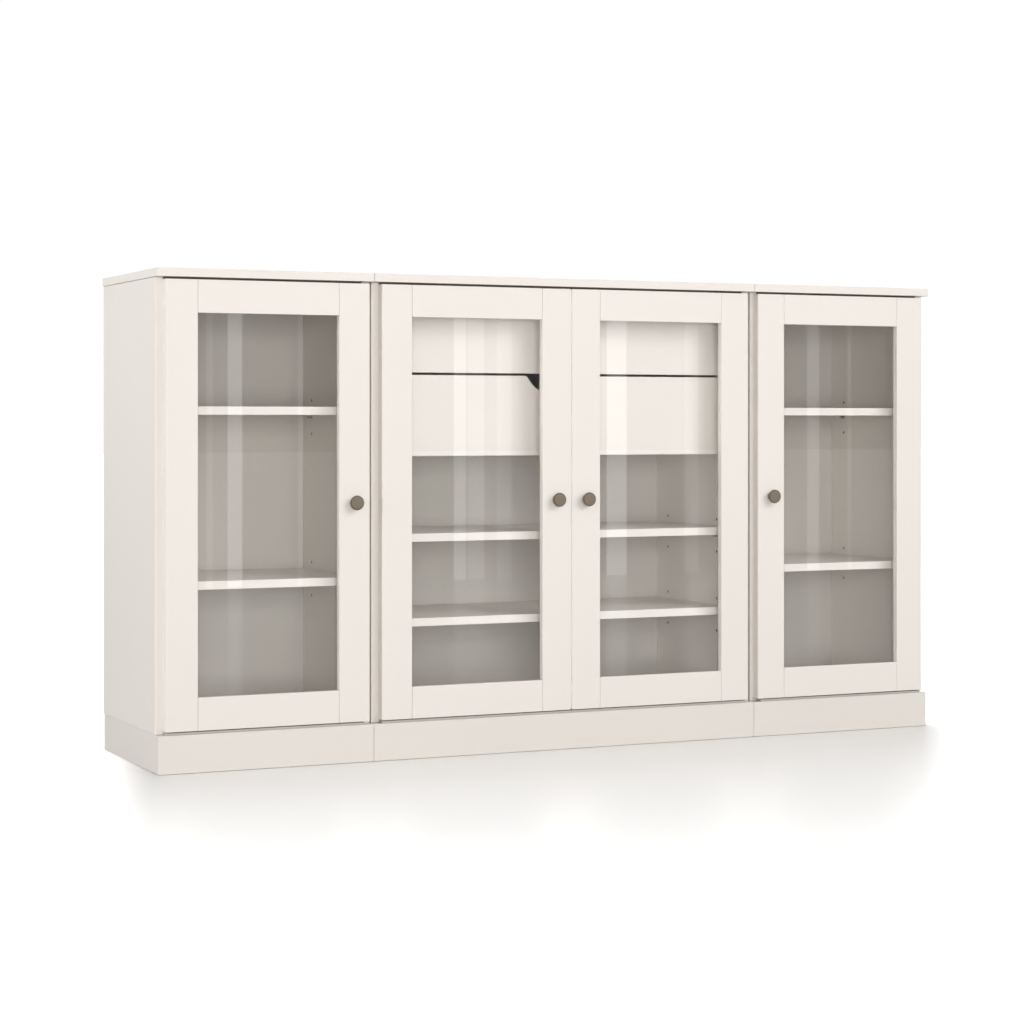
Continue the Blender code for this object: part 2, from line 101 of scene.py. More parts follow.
class Graph:
    """A short way to lay nodes in one shader tree."""

    def __init__(self, tree: bpy.types.NodeTree) -> None:
        """Keep the tree that nodes are laid in."""
        self.tree = tree

    def add(self, kind: str, settings: Optional[dict] = None, **inputs: object) -> bpy.types.Node:
        """Lay a node and fill its sockets.

        Args:
            kind: The node's type, without the ShaderNode prefix.
            settings: Properties of the node, such as its operation.
            inputs: Socket names, with spaces written as underscores, and a value or an output to link.

        Returns:
            The new node.
        """
        node = self.tree.nodes.new("ShaderNode" + kind)
        for key, value in (settings or {}).items():
            setattr(node, key, value)
        for key, value in inputs.items():
            self.feed(node, key.replace("_", " "), value)
        return node

    def feed(self, node: bpy.types.Node, socket: object, value: object) -> None:
        """Set a socket, or link an output to it.

        Args:
            node: The node that owns the socket.
            socket: The socket's name or number.
            value: A number, a colour or an output socket.
        """
        target = node.inputs[socket]
        if isinstance(value, bpy.types.NodeSocket):
            self.tree.links.new(value, target)
        elif isinstance(value, tuple) and len(value) == 3 and target.type == "RGBA":
            target.default_value = (*value, 1.0)
        else:
            target.default_value = value

    def math(self, operation: str, first: object, second: object = 0.0) -> bpy.types.NodeSocket:
        """Lay a math node.

        Args:
            operation: The node's operation.
            first: The first value or output.
            second: The second value or output.

        Returns:
            The node's output.
        """
        node = self.add("Math", {"operation": operation})
        self.feed(node, 0, first)
        self.feed(node, 1, second)
        return node.outputs[0]

    def spread(self, value: object, low: float, high: float, start: float = 0.0,
               end: float = 1.0) -> bpy.types.NodeSocket:
        """Map a value smoothly from one range to another.

        Args:
            value: The output to map.
            low: Where the input range starts.
            high: Where the input range ends.
            start: The result at low.
            end: The result at high.

        Returns:
            The node's output.
        """
        node = self.add("MapRange", {"interpolation_type": "SMOOTHSTEP"})
        sockets = ("Value", "From Min", "From Max", "To Min", "To Max")
        for socket, number in zip(sockets, (value, low, high, start, end)):
            self.feed(node, socket, number)
        return node.outputs["Result"]

    def blend(self, mask: object, under: object, over: object, mode: str = "MIX") -> bpy.types.NodeSocket:
        """Mix two colours by a mask.

        Args:
            mask: How much of the upper colour shows.
            under: The lower colour.
            over: The upper colour.
            mode: The blending mode.

        Returns:
            The mixed colour.
        """
        node = self.add("Mix", {"data_type": "RGBA", "blend_type": mode})
        self.feed(node, 0, mask)
        self.feed(node, 6, under)
        self.feed(node, 7, over)
        return node.outputs[2]

    def noise(self, where: object, scale: object, detail: float = 2.0,
              rough: float = 0.5) -> bpy.types.NodeSocket:
        """Lay a noise texture.

        Args:
            where: The coordinates.
            scale: Features per metre.
            detail: How many finer layers it has.
            rough: How strong the finer layers are.

        Returns:
            The noise value.
        """
        node = self.add("TexNoise", None, Vector=where, Scale=scale, Detail=detail, Roughness=rough)
        return node.outputs[0]


class Effects:
    """Shader node groups that several finishes share, each built once."""

    @staticmethod
    def _open(name: str, inputs: dict[str, object], outputs: Sequence[str]) -> tuple[
            Graph, bpy.types.bpy_prop_collection, bpy.types.NodeSocket, bpy.types.Node]:
        """Start a group with named sockets.

        Args:
            name: The group's name.
            inputs: Each input's name and default value.
            outputs: The outputs' names; Color is a colour and the others are numbers.

        Returns:
            The group's graph, what it is given, the place on the object in metres, and the node to feed.
        """
        tree = bpy.data.node_groups.new(name, "ShaderNodeTree")
        for label, value in inputs.items():
            kind = "NodeSocketColor" if isinstance(value, tuple) else "NodeSocketFloat"
            made = tree.interface.new_socket(name=label, in_out="INPUT", socket_type=kind)
            made.default_value = (*value, 1.0) if isinstance(value, tuple) else value
        for label in outputs:
            kind = "NodeSocketColor" if label == "Color" else "NodeSocketFloat"
            tree.interface.new_socket(name=label, in_out="OUTPUT", socket_type=kind)
        graph = Graph(tree)
        given = tree.nodes.new("NodeGroupInput").outputs
        result = tree.nodes.new("NodeGroupOutput")
        return graph, given, graph.add("TexCoord").outputs["Object"], result

    @staticmethod
    def _raised(graph: Graph, given: bpy.types.bpy_prop_collection, mask: object,
                share: object) -> bpy.types.NodeSocket:
        """Add a share of a mask to the roughness that a group is given."""
        lift = graph.math("MULTIPLY", mask, share)
        return graph.math("ADD", given["Roughness"], lift)

    @classmethod
    @cache
    def sprayed_coat(cls) -> bpy.types.NodeTree:
        """The skin of sprayed lacquer: a soft drift in tone, an uneven gloss and a fine orange peel.

        Returns:
            The node group.
        """
        graph, given, spot, result = cls._open("sprayed_coat", {
            "Paint": (0.8, 0.8, 0.8), "Drift": (0.7, 0.7, 0.7), "Drift Amount": 0.2, "Drift Scale": 2.5,
            "Gloss": 0.35, "Gloss Spread": 0.06, "Peel Scale": 420.0,
        }, ["Color", "Roughness", "Height"])
        cloud = graph.noise(spot, given["Drift Scale"], 3.0, 0.55)
        mask = graph.math("MULTIPLY", graph.spread(cloud, 0.32, 0.7), given["Drift Amount"])
        graph.feed(result, "Color", graph.blend(mask, given["Paint"], given["Drift"]))
        fine = graph.noise(spot, 28.0, 4.0, 0.6)
        sway = graph.math("SUBTRACT", fine, 0.5)
        gloss = graph.math("MULTIPLY", sway, given["Gloss Spread"])
        gloss = graph.math("MULTIPLY", gloss, 2.0)
        graph.feed(result, "Roughness", graph.math("ADD", gloss, given["Gloss"]))
        peel = graph.noise(spot, given["Peel Scale"], 1.0, 0.4)
        slow = graph.noise(spot, 60.0, 1.0, 0.4)
        graph.feed(result, "Height", graph.math("ADD", peel, graph.math("MULTIPLY", slow, 1.6)))
        return graph.tree

    @classmethod
    @cache
    def settled_dust(cls) -> bpy.types.NodeTree:
        """A light veil of dust on faces that look up.

        Returns:
            The node group.
        """
        graph, given, spot, result = cls._open("settled_dust", {
            "Color": (0.8, 0.8, 0.8), "Roughness": 0.4, "Dust": (0.62, 0.6, 0.57), "Amount": 0.15,
            "Scale": 34.0,
        }, ["Color", "Roughness"])
        normal = graph.add("NewGeometry").outputs["Normal"]
        up = graph.add("SeparateXYZ", None, Vector=normal).outputs["Z"]
        speck = graph.noise(spot, given["Scale"], 6.0, 0.7)
        veil = graph.math("MULTIPLY", graph.spread(up, 0.6, 0.98), graph.spread(speck, 0.35, 0.75))
        mask = graph.math("MULTIPLY", veil, given["Amount"])
        graph.feed(result, "Color", graph.blend(mask, given["Color"], given["Dust"]))
        graph.feed(result, "Roughness", cls._raised(graph, given, mask, 0.9))
        return graph.tree

    @classmethod
    @cache
    def floor_scuffs(cls) -> bpy.types.NodeTree:
        """Faint streaks and a slight greying just above the floor.

        Returns:
            The node group.
        """
        graph, given, spot, result = cls._open("floor_scuffs", {
            "Color": (0.8, 0.8, 0.8), "Roughness": 0.4, "Mark": (0.45, 0.42, 0.4), "Reach": 0.045,
            "Amount": 0.25,
        }, ["Color", "Roughness"])
        height = graph.add("SeparateXYZ", None, Vector=spot).outputs["Z"]
        near = graph.math("SUBTRACT", 1.0, graph.math("DIVIDE", height, given["Reach"]))
        near = graph.spread(near, 0.0, 1.0)
        along = graph.add("Mapping", None, Vector=spot, Scale=(9.0, 9.0, 90.0)).outputs[0]
        streak = graph.spread(graph.noise(along, 1.0, 5.0, 0.65), 0.52, 0.74)
        mask = graph.math("MULTIPLY", graph.math("MULTIPLY", near, streak), given["Amount"])
        graph.feed(result, "Color", graph.blend(mask, given["Color"], given["Mark"]))
        graph.feed(result, "Roughness", cls._raised(graph, given, mask, 0.5))
        return graph.tree

    @classmethod
    @cache
    def touch_marks(cls) -> bpy.types.NodeTree:
        """Patches where hands and cloths have left the gloss a little duller.

        Returns:
            The node group.
        """
        graph, given, spot, result = cls._open("touch_marks", {
            "Roughness": 0.1, "Amount": 0.05, "Scale": 16.0,
        }, ["Roughness", "Mask"])
        patch = graph.spread(graph.noise(spot, given["Scale"], 4.0, 0.62), 0.5, 0.72)
        fine = graph.noise(spot, 240.0, 2.0, 0.5)
        mask = graph.math("MULTIPLY", patch, fine)
        graph.feed(result, "Mask", mask)
        graph.feed(result, "Roughness", cls._raised(graph, given, mask, given["Amount"]))
        return graph.tree

    @classmethod
    @cache
    def pressed_fibre(cls) -> bpy.types.NodeTree:
        """Short fibres and flecks, as on fibreboard or foil-faced board, drawn out along one direction.

        Returns:
            The node group.
        """
        graph, given, spot, result = cls._open("pressed_fibre", {
            "Base": (0.7, 0.7, 0.7), "Fleck": (0.5, 0.47, 0.43), "Fleck Amount": 0.3, "Stretch": 0.2,
            "Scale": 260.0,
        }, ["Color", "Height"])
        parts = graph.add("SeparateXYZ", None, Vector=spot)
        drawn = graph.math("MULTIPLY", parts.outputs["Z"], given["Stretch"])
        joined = graph.add("CombineXYZ", None, X=parts.outputs["X"], Y=parts.outputs["Y"], Z=drawn)
        hair = graph.noise(joined.outputs[0], given["Scale"], 5.0, 0.62)
        mask = graph.math("MULTIPLY", graph.spread(hair, 0.5, 0.72), given["Fleck Amount"])
        graph.feed(result, "Color", graph.blend(mask, given["Base"], given["Fleck"]))
        graph.feed(result, "Height", hair)
        return graph.tree

    @classmethod
    @cache
    def painted_glow_pool(cls) -> bpy.types.NodeTree:
        """A painted glow for the floor that grows from the run's front edge and is full beside and behind
        it.

        Returns:
            The node group.
        """
        graph, given, spot, result = cls._open("painted_glow_pool", {
            "Front Glow": (0.38, 0.38, 0.38), "Far Glow": (0.6, 0.6, 0.6), "Softness": 0.11,
            "White From": 1.27,
        }, ["Color"])

        def across(corner: Sequence[float], outward: Sequence[float]) -> bpy.types.NodeSocket:
            """Measure how far a spot lies beyond a line on the floor.

            Args:
                corner: A point on the line.
                outward: The direction that counts as beyond.

            Returns:
                The distance.
            """
            offset = graph.add("VectorMath", {"operation": "SUBTRACT"})
            graph.feed(offset, 0, spot)
            graph.feed(offset, 1, (*corner, 0.0))
            dot = graph.add("VectorMath", {"operation": "DOT_PRODUCT"})
            graph.feed(dot, 0, offset.outputs[0])
            graph.feed(dot, 1, (*outward, 0.0))
            return dot.outputs["Value"]

        front, left_end, right_end, end_face, behind = -0.173, -0.8095, 0.795, 0.806, 0.20
        left = across((left_end, front), (-0.9595, 0.2815))
        right = across((right_end, front), (0.8206, -0.5715))
        rear = across((0.0, behind), (0.0, 1.0))
        end = graph.math("MULTIPLY", across((end_face, 0.0), (1.0, 0.0)), 2.5)
        beyond = graph.math("MAXIMUM", graph.math("MAXIMUM", left, right), graph.math("MAXIMUM", rear, end))
        beyond = graph.spread(graph.math("DIVIDE", beyond, given["Softness"]), 0.0, 1.0)
        away = graph.math("MAXIMUM", across((0.0, front), (0.0, -1.0)), 0.0)
        done = across((0.0, 0.0), (-0.4209, -0.9071))
        left_over = graph.math("MAXIMUM", graph.math("SUBTRACT", given["White From"], done), 0.0001)
        share = graph.math("DIVIDE", away, graph.math("ADD", away, left_over))
        share = graph.math("POWER", share, 0.8)
        glow = graph.blend(share, (0.0, 0.0, 0.0), given["Front Glow"])
        graph.feed(result, "Color", graph.blend(beyond, glow, given["Far Glow"]))
        return graph.tree

    @classmethod
    @cache
    def turned_rings(cls) -> bpy.types.NodeTree:
        """Fine rings about the piece's own Y axis, left by a lathe tool and brushing.

        Returns:
            The node group.
        """
        graph, given, spot, result = cls._open("turned_rings", {
            "Pitch": 0.0006, "Rim": 0.0118,
        }, ["Height", "Rim Shade Mask"])
        parts = graph.add("SeparateXYZ", None, Vector=spot)
        flat = graph.add("CombineXYZ", None, X=parts.outputs["X"], Z=parts.outputs["Z"]).outputs[0]
        radius = graph.add("VectorMath", {"operation": "LENGTH"}, Vector=flat).outputs["Value"]
        turns = graph.math("DIVIDE", radius, given["Pitch"])
        fuzz = graph.noise(graph.add("CombineXYZ", None, X=turns).outputs[0], 1.3, 2.0, 0.6)
        graph.feed(result, "Height", fuzz)
        # The rim mask marks the outer rim, where the knob's colour is darkened as painted shade.
        share = graph.math("DIVIDE", radius, given["Rim"])
        graph.feed(result, "Rim Shade Mask", graph.spread(share, 0.88, 1.02))
        return graph.tree


@dataclass(frozen=True)
class Finish:
    """What every finish has: a name, a slot and a way to be built."""

    name: str
    slot: Slot

    def start(self) -> tuple[Graph, bpy.types.Node, bpy.types.Material]:
        """Open a material and hand over its graph and its Principled shader.

        Returns:
            The graph, the Principled BSDF and the material.
        """
        material = bpy.data.materials.new(self.name)
        material.use_nodes = True
        graph = Graph(material.node_tree)
        return graph, material.node_tree.nodes["Principled BSDF"], material

    def group(self, graph: Graph, tree: bpy.types.NodeTree, **inputs: object) -> bpy.types.Node:
        """Place a shared effect in the material.

        Args:
            graph: The material's graph.
            tree: The effect's node group.
            inputs: Values and links for its sockets.

        Returns:
            The group node.
        """
        node = graph.add("Group", {"node_tree": tree})
        for key, value in inputs.items():
            graph.feed(node, key.replace("_", " "), value)
        return node

    def bump(self, graph: Graph, shader: bpy.types.Node, height: object, strength: float,
             depth: float) -> None:
        """Feed a height to the shader's normal.

        Args:
            graph: The material's graph.
            shader: The Principled BSDF.
            height: The height output.
            strength: The bump's strength.
            depth: The bump's distance in metres.
        """
        node = graph.add("Bump", None, Strength=strength, Distance=depth, Height=height)
        graph.feed(shader, "Normal", node.outputs[0])

    def build(self) -> bpy.types.Material:
        """Build the material; each finish has its own way."""
        raise NotImplementedError


@dataclass(frozen=True)
class Lacquer(Finish):
    """Sprayed satin lacquer on board."""

    paint: Colour = (0.84, 0.798, 0.755)
    drift: Colour = (0.80, 0.758, 0.715)
    gloss: float = 0.36
    dust: float = 0.10
    scuffs: float = 0.0
    peel: float = 0.12

    def build(self) -> bpy.types.Material:
        """Lay coat, dust and, low down, scuffs over each other.

        Returns:
            The material.
        """
        graph, shader, material = self.start()
        coat = self.group(
            graph, Effects.sprayed_coat(), Paint=self.paint, Drift=self.drift, Gloss=self.gloss,
        )
        dust = self.group(
            graph, Effects.settled_dust(), Color=coat.outputs["Color"], Roughness=coat.outputs["Roughness"],
            Amount=self.dust,
        )
        last = dust
        if self.scuffs:
            last = self.group(
                graph, Effects.floor_scuffs(), Color=dust.outputs["Color"],
                Roughness=dust.outputs["Roughness"], Amount=self.scuffs,
            )
        graph.feed(shader, "Base Color", last.outputs["Color"])
        graph.feed(shader, "Roughness", last.outputs["Roughness"])
        shader.inputs["IOR"].default_value = 1.46
        self.bump(graph, shader, coat.outputs["Height"], self.peel, 0.0002)
        return material


@dataclass(frozen=True)
class FaceBoard(Finish):
    """Fibreboard or foil-faced board, with short fibres showing through a thin coat."""

    base: Colour = (0.67, 0.64, 0.605)
    fleck: Colour = (0.56, 0.525, 0.485)
    amount: float = 0.10
    stretch: float = 0.2
    roughness: float = 0.5

    def build(self) -> bpy.types.Material:
        """Lay fibres and dust.

        Returns:
            The material.
        """
        graph, shader, material = self.start()
        fibre = self.group(
            graph, Effects.pressed_fibre(), Base=self.base, Fleck=self.fleck, Fleck_Amount=self.amount,
            Stretch=self.stretch,
        )
        marks = self.group(graph, Effects.touch_marks(), Roughness=self.roughness, Amount=0.12, Scale=9.0)
        dust = self.group(
            graph, Effects.settled_dust(), Color=fibre.outputs["Color"],
            Roughness=marks.outputs["Roughness"],
        )
        graph.feed(shader, "Base Color", dust.outputs["Color"])
        graph.feed(shader, "Roughness", dust.outputs["Roughness"])
        self.bump(graph, shader, fibre.outputs["Height"], 0.2, 0.0002)
        return material


@dataclass(frozen=True)
class PaneGlass(Finish):
    """Clear float glass that lets light through to the shelves."""

    tint: Colour = (0.985, 0.99, 0.985)
    passing: Colour = (0.985, 0.988, 0.985)
    roughness: float = 0.0

    def build(self) -> bpy.types.Material:
        """Glass for sight, and a clear way through for light on its way to the inside.

        Returns:
            The material.
        """
        graph, shader, material = self.start()
        shader.inputs["Base Color"].default_value = (*self.tint, 1.0)
        shader.inputs["Transmission Weight"].default_value = 1.0
        shader.inputs["IOR"].default_value = 1.5
        marks = self.group(graph, Effects.touch_marks(), Roughness=self.roughness, Amount=0.02, Scale=7.0)
        graph.feed(shader, "Roughness", marks.outputs["Roughness"])
        clear = graph.add("BsdfTransparent", None, Color=self.passing)
        path = graph.add("LightPath")
        either = graph.math("MAXIMUM", path.outputs["Is Shadow Ray"], path.outputs["Is Diffuse Ray"])
        mixed = graph.add("MixShader")
        graph.feed(mixed, 0, either)
        graph.feed(mixed, 1, shader.outputs[0])
        graph.feed(mixed, 2, clear.outputs[0])
        output = material.node_tree.nodes["Material Output"]
        graph.feed(output, "Surface", mixed.outputs[0])
        return material


@dataclass(frozen=True)
class TurnedBronze(Finish):
    """Dark bronzed metal, turned on a lathe and lightly brushed."""

    face: Colour = (0.335, 0.272, 0.216)
    rim_shade: Colour = (0.205, 0.172, 0.138)
    handled: Colour = (0.42, 0.345, 0.275)
    roughness: float = 0.42

    def build(self) -> bpy.types.Material:
        """Rings on the face, a darker rim that is painted shade where the edge turns from the light, and
        handled patches.

        Returns:
            The material.
        """
        graph, shader, material = self.start()
        rings = self.group(graph, Effects.turned_rings())
        marks = self.group(graph, Effects.touch_marks(), Roughness=self.roughness, Amount=0.18, Scale=140.0)
        # Painted shade: the rim is darkened towards its edge.
        shade = graph.blend(rings.outputs["Rim Shade Mask"], self.face, self.rim_shade)
        worn = graph.blend(graph.math("MULTIPLY", marks.outputs["Mask"], 0.5), shade, self.handled)
        graph.feed(shader, "Base Color", worn)
        graph.feed(shader, "Roughness", marks.outputs["Roughness"])
        shader.inputs["Metallic"].default_value = 0.45
        self.bump(graph, shader, rings.outputs["Height"], 0.25, 0.00012)
        return material


@dataclass(frozen=True)
class PlatedSteel(Finish):
    """Bright nickel-plated steel, rolled and stamped."""

    colour: Colour = (0.60, 0.595, 0.58)
    streak: Colour = (0.42, 0.41, 0.40)
    roughness: float = 0.26

    def build(self) -> bpy.types.Material:
        """Rolled streaks under handled patches.

        Returns:
            The material.
        """
        graph, shader, material = self.start()
        fibre = self.group(
            graph, Effects.pressed_fibre(), Base=self.colour, Fleck=self.streak, Fleck_Amount=0.35,
            Stretch=0.04, Scale=900.0,
        )
        marks = self.group(graph, Effects.touch_marks(), Roughness=self.roughness, Amount=0.2, Scale=60.0)
        graph.feed(shader, "Base Color", fibre.outputs["Color"])
        graph.feed(shader, "Roughness", marks.outputs["Roughness"])
        shader.inputs["Metallic"].default_value = 1.0
        self.bump(graph, shader, fibre.outputs["Height"], 0.1, 0.0001)
        return material


@dataclass(frozen=True)
class Plastic(Finish):
    """Small moulded plastic pieces."""

    colour: Colour = (0.75, 0.74, 0.71)
    roughness: float = 0.4
    clear: float = 0.0

    def build(self) -> bpy.types.Material:
        """A fine moulded texture under handled patches.

        Returns:
            The material.
        """
        graph, shader, material = self.start()
        coat = self.group(
            graph, Effects.sprayed_coat(), Paint=self.colour, Drift=tuple(0.9 * c for c in self.colour),
            Gloss=self.roughness, Peel_Scale=1400.0,
        )
        graph.feed(shader, "Base Color", coat.outputs["Color"])
        graph.feed(shader, "Roughness", coat.outputs["Roughness"])
        shader.inputs["Transmission Weight"].default_value = self.clear
        self.bump(graph, shader, coat.outputs["Height"], 0.15, 0.0001)
        return material


@dataclass(frozen=True)
class StudioFloor(Finish):
    """A pale, faintly glossy studio floor that runs out to plain white."""

    colour: Colour = (0.925, 0.925, 0.925)
    bounce: Colour = (0.50, 0.495, 0.49)
    mirror: Colour = (0.55, 0.55, 0.55)
    roughness: float = 0.30
    glow: float = 0.62

    def build(self) -> bpy.types.Material:
        """A soft sheen near the run, washed out further off by a painted glow that the floor gives off
        itself.

        Returns:
            The material.
        """
        graph, shader, material = self.start()
        pool = self.group(graph, Effects.painted_glow_pool(), Far_Glow=(self.glow,) * 3)
        graph.feed(shader, "Base Color", self.colour)
        shader.inputs["Roughness"].default_value = self.roughness
        shader.inputs["Specular IOR Level"].default_value = 0.32
        # The emission is a painted glow, faint by the run's front and full further off.
        shader.inputs["Emission Strength"].default_value = 1.0
        graph.feed(shader, "Emission Color", pool.outputs["Color"])
        matt = graph.add("BsdfDiffuse", None, Color=self.bounce)
        sheen = graph.add("BsdfGlossy", None, Color=self.mirror, Roughness=0.05)
        path = graph.add("LightPath")
        unseen = graph.add("MixShader")
        graph.feed(unseen, 0, path.outputs["Is Glossy Ray"])
        graph.feed(unseen, 1, matt.outputs[0])
        graph.feed(unseen, 2, sheen.outputs[0])
        mixed = graph.add("MixShader")
        seen = graph.math("MAXIMUM", path.outputs["Is Camera Ray"], path.outputs["Is Transmission Ray"])
        graph.feed(mixed, 0, seen)
        graph.feed(mixed, 1, unseen.outputs[0])
        graph.feed(mixed, 2, shader.outputs[0])
        graph.feed(material.node_tree.nodes["Material Output"], "Surface", mixed.outputs[0])
        return material


class Palette:
    """Builds each finish once and hands it out by name."""

    def __init__(self) -> None:
        """List the finishes of the run."""
        self._made: dict[str, bpy.types.Material] = {}
        self.lacquer = Lacquer("warm_lacquer", Slot.PAINT)
        self.top_lacquer = Lacquer("top_lacquer", Slot.PAINT, gloss=0.30, dust=0.08)
        # A darker copy of the warm lacquer: painted shade for the plinth, which sits low where less light
        # falls; its scuffs are wear.
        self.shaded_plinth_lacquer = Lacquer(
            "shaded_plinth_lacquer", Slot.PAINT, paint=(0.785, 0.745, 0.70), drift=(0.75, 0.71, 0.665),
            scuffs=0.09,
        )
        self.inner_lacquer = Lacquer("inner_lacquer", Slot.PAINT, gloss=0.42, dust=0.10)
        # A brighter copy of the warm lacquer: painted light on the drawer fronts, making up for light lost
        # through the glass, and a painted sheen on the shelves' edge bands.
        self.painted_light_lacquer = Lacquer(
            "painted_light_lacquer", Slot.PAINT, paint=(0.93, 0.88, 0.84), drift=(0.90, 0.85, 0.81),
        )
        self.back = FaceBoard("back_fibreboard", Slot.BACK)
        self.drawer = FaceBoard("drawer_board", Slot.DRAWER, base=(0.80, 0.775, 0.735), amount=0.08)
        self.glass = PaneGlass("clear_glass", Slot.GLASS)
        self.bronze = TurnedBronze("turned_bronze", Slot.BRONZE)
        self.steel = PlatedSteel("plated_steel", Slot.STEEL)
        self.seal = Plastic("foam_seal", Slot.PAINT, colour=(0.97, 0.945, 0.915), roughness=0.6)
        # A mid-grey strip colour: painted shade for the slot between the doors' foot and the plinth.
        self.foot = Plastic("slot_shade_grey", Slot.PAINT, colour=(0.50, 0.48, 0.455), roughness=0.7)
        # A near-black strip colour: painted shade for the reveal above the doors.
        self.brush = Plastic("reveal_painted_shade", Slot.PAINT, colour=(0.15, 0.125, 0.11), roughness=0.9)
        self.bumper = Plastic("clear_bumper", Slot.PAINT, clear=0.7, roughness=0.2)
        # A near-black colour: painted shade for pin holes and screw recesses.
        self.recess_shade = Plastic("painted_hole_shade", Slot.PAINT, colour=(0.06, 0.055, 0.05), roughness=0.7)
        self.floor = StudioFloor("studio_floor", Slot.PAINT)

    def of(self, finish: Finish) -> bpy.types.Material:
        """Give a finish's material, building it the first time.

        Args:
            finish: One of the finishes above.

        Returns:
            Its material.
        """
        if finish.name not in self._made:
            self._made[finish.name] = finish.build()
        return self._made[finish.name]


class Shape:
    """Mesh builders. Each one returns a closed bmesh in metres."""

    @staticmethod
    def stepped(xs: Sequence[float], ys: Sequence[float], zs: Sequence[float],
                keep: Callable[[int, int, int], bool]) -> bmesh.types.BMesh:
        """Build a solid of box-shaped cells and merge its flat faces.

        Args:
            xs: Where the cells divide along X, in rising order.
            ys: The same along Y.
            zs: The same along Z.
            keep: Says whether a cell, given by its three numbers, is solid.

        Returns:
            The solid.
        """
        mesh = bmesh.new()
        corners: dict[tuple[int, int, int], bmesh.types.BMVert] = {}
        counts = (len(xs) - 1, len(ys) - 1, len(zs) - 1)

        def corner(key: tuple[int, int, int]) -> bmesh.types.BMVert:
            """Give the vertex at a grid crossing.

            Args:
                key: The crossing's three numbers.

            Returns:
                The vertex, made the first time.
            """
            if key not in corners:
                corners[key] = mesh.verts.new((xs[key[0]], ys[key[1]], zs[key[2]]))
            return corners[key]

        def solid(cell: tuple[int, int, int]) -> bool:
            """Say whether a cell is inside the grid and kept."""
            inside = all(0 <= cell[axis] < counts[axis] for axis in range(3))
            return inside and keep(*cell)

        cells = [(i, j, k) for i in range(counts[0]) for j in range(counts[1]) for k in range(counts[2])]
        for cell in filter(solid, cells):
            for axis in range(3):
                u, v = (axis + 1) % 3, (axis + 2) % 3
                for side in (0, 1):
                    beyond = list(cell)
                    beyond[axis] += 1 if side else -1
                    if solid(tuple(beyond)):
                        continue
                    loop = []
                    for du, dv in ((0, 0), (1, 0), (1, 1), (0, 1)):
                        key = list(cell)
                        key[axis] += side
                        key[u] += du
                        key[v] += dv
                        loop.append(corner(tuple(key)))
                    mesh.faces.new(loop if side else loop[::-1])
        bmesh.ops.dissolve_limit(mesh, angle_limit=0.01, verts=mesh.verts, edges=mesh.edges)
        bmesh.ops.recalc_face_normals(mesh, faces=mesh.faces)
        return mesh

    @classmethod
    def board(cls, low: Sequence[float], high: Sequence[float]) -> bmesh.types.BMesh:
        """Build a plain board between two corners."""
        return cls.stepped(*[(low[i], high[i]) for i in range(3)], lambda i, j, k: True)

    @staticmethod
    def prism(outline: Sequence[tuple[float, float]], start: float, end: float,
              axis: int) -> bmesh.types.BMesh:
        """Extrude an outline along one axis.

        Args:
            outline: Corner points on the other two axes, in X, Y, Z order.
            start: Where the extrusion starts.
            end: Where it ends.
            axis: The number of the axis it runs along.

        Returns:
            The prism.
        """
        mesh = bmesh.new()
        rows = []
        for level in (start, end):
            row = []
            for u, v in outline:
                spot = [u, v]
                spot.insert(axis, level)
                row.append(mesh.verts.new(spot))
            rows.append(row)
        count = len(outline)
        mesh.faces.new(rows[0])
        mesh.faces.new(rows[1][::-1])
        for i in range(count):
            j = (i + 1) % count
            mesh.faces.new((rows[0][i], rows[0][j], rows[1][j], rows[1][i]))
        bmesh.ops.recalc_face_normals(mesh, faces=mesh.faces)
        return mesh

    @staticmethod
    def turned(profile: Sequence[tuple[float, float]], steps: int = 40) -> bmesh.types.BMesh:
        """Turn a profile about the Y axis.

        Args:
            profile: Points of (radius, y); a radius of zero closes the end in a point.
            steps: How many facets go round.

        Returns:
            The turned solid.
        """
        mesh = bmesh.new()
        rings = []
        for radius, y in profile:
            if radius < 1e-6:
                rings.append([mesh.verts.new((0.0, y, 0.0))])
                continue
            angles = [2 * math.pi * step / steps for step in range(steps)]
            rings.append([mesh.verts.new((radius * math.cos(a), y, radius * math.sin(a))) for a in angles])
        for one, two in zip(rings, rings[1:]):
            for i in range(steps):
                j = (i + 1) % steps
                loop = [one[i % len(one)], one[j % len(one)], two[j % len(two)], two[i % len(two)]]
                mesh.faces.new(list(dict.fromkeys(loop)))
        for ring in (rings[0], rings[-1]):
            if len(ring) > 1:
                mesh.faces.new(ring)
        bmesh.ops.recalc_face_normals(mesh, faces=mesh.faces)
        return mesh

    @staticmethod
    def bored(mesh: bmesh.types.BMesh, cutters: Sequence[bmesh.types.BMesh]) -> bmesh.types.BMesh:
        """Cut solids out of a mesh.

        Args:
            mesh: The solid to cut, which is used up.
            cutters: The solids to take away, which are used up.

        Returns:
            What is left.
        """
        scratch = []
        for part in (mesh, *cutters):
            data = bpy.data.meshes.new("scratch")
            part.to_mesh(data)
            part.free()
            scratch.append(bpy.data.objects.new("scratch", data))
            bpy.context.scene.collection.objects.link(scratch[-1])
        for tool in scratch[1:]:
            cut = scratch[0].modifiers.new("cut", "BOOLEAN")
            cut.object = tool
            cut.operation = "DIFFERENCE"
            cut.solver = "EXACT"
        result = bmesh.new()
        result.from_object(scratch[0], bpy.context.evaluated_depsgraph_get())
        for part in scratch:
            data = part.data
            bpy.data.objects.remove(part)
            bpy.data.meshes.remove(data)
        return result

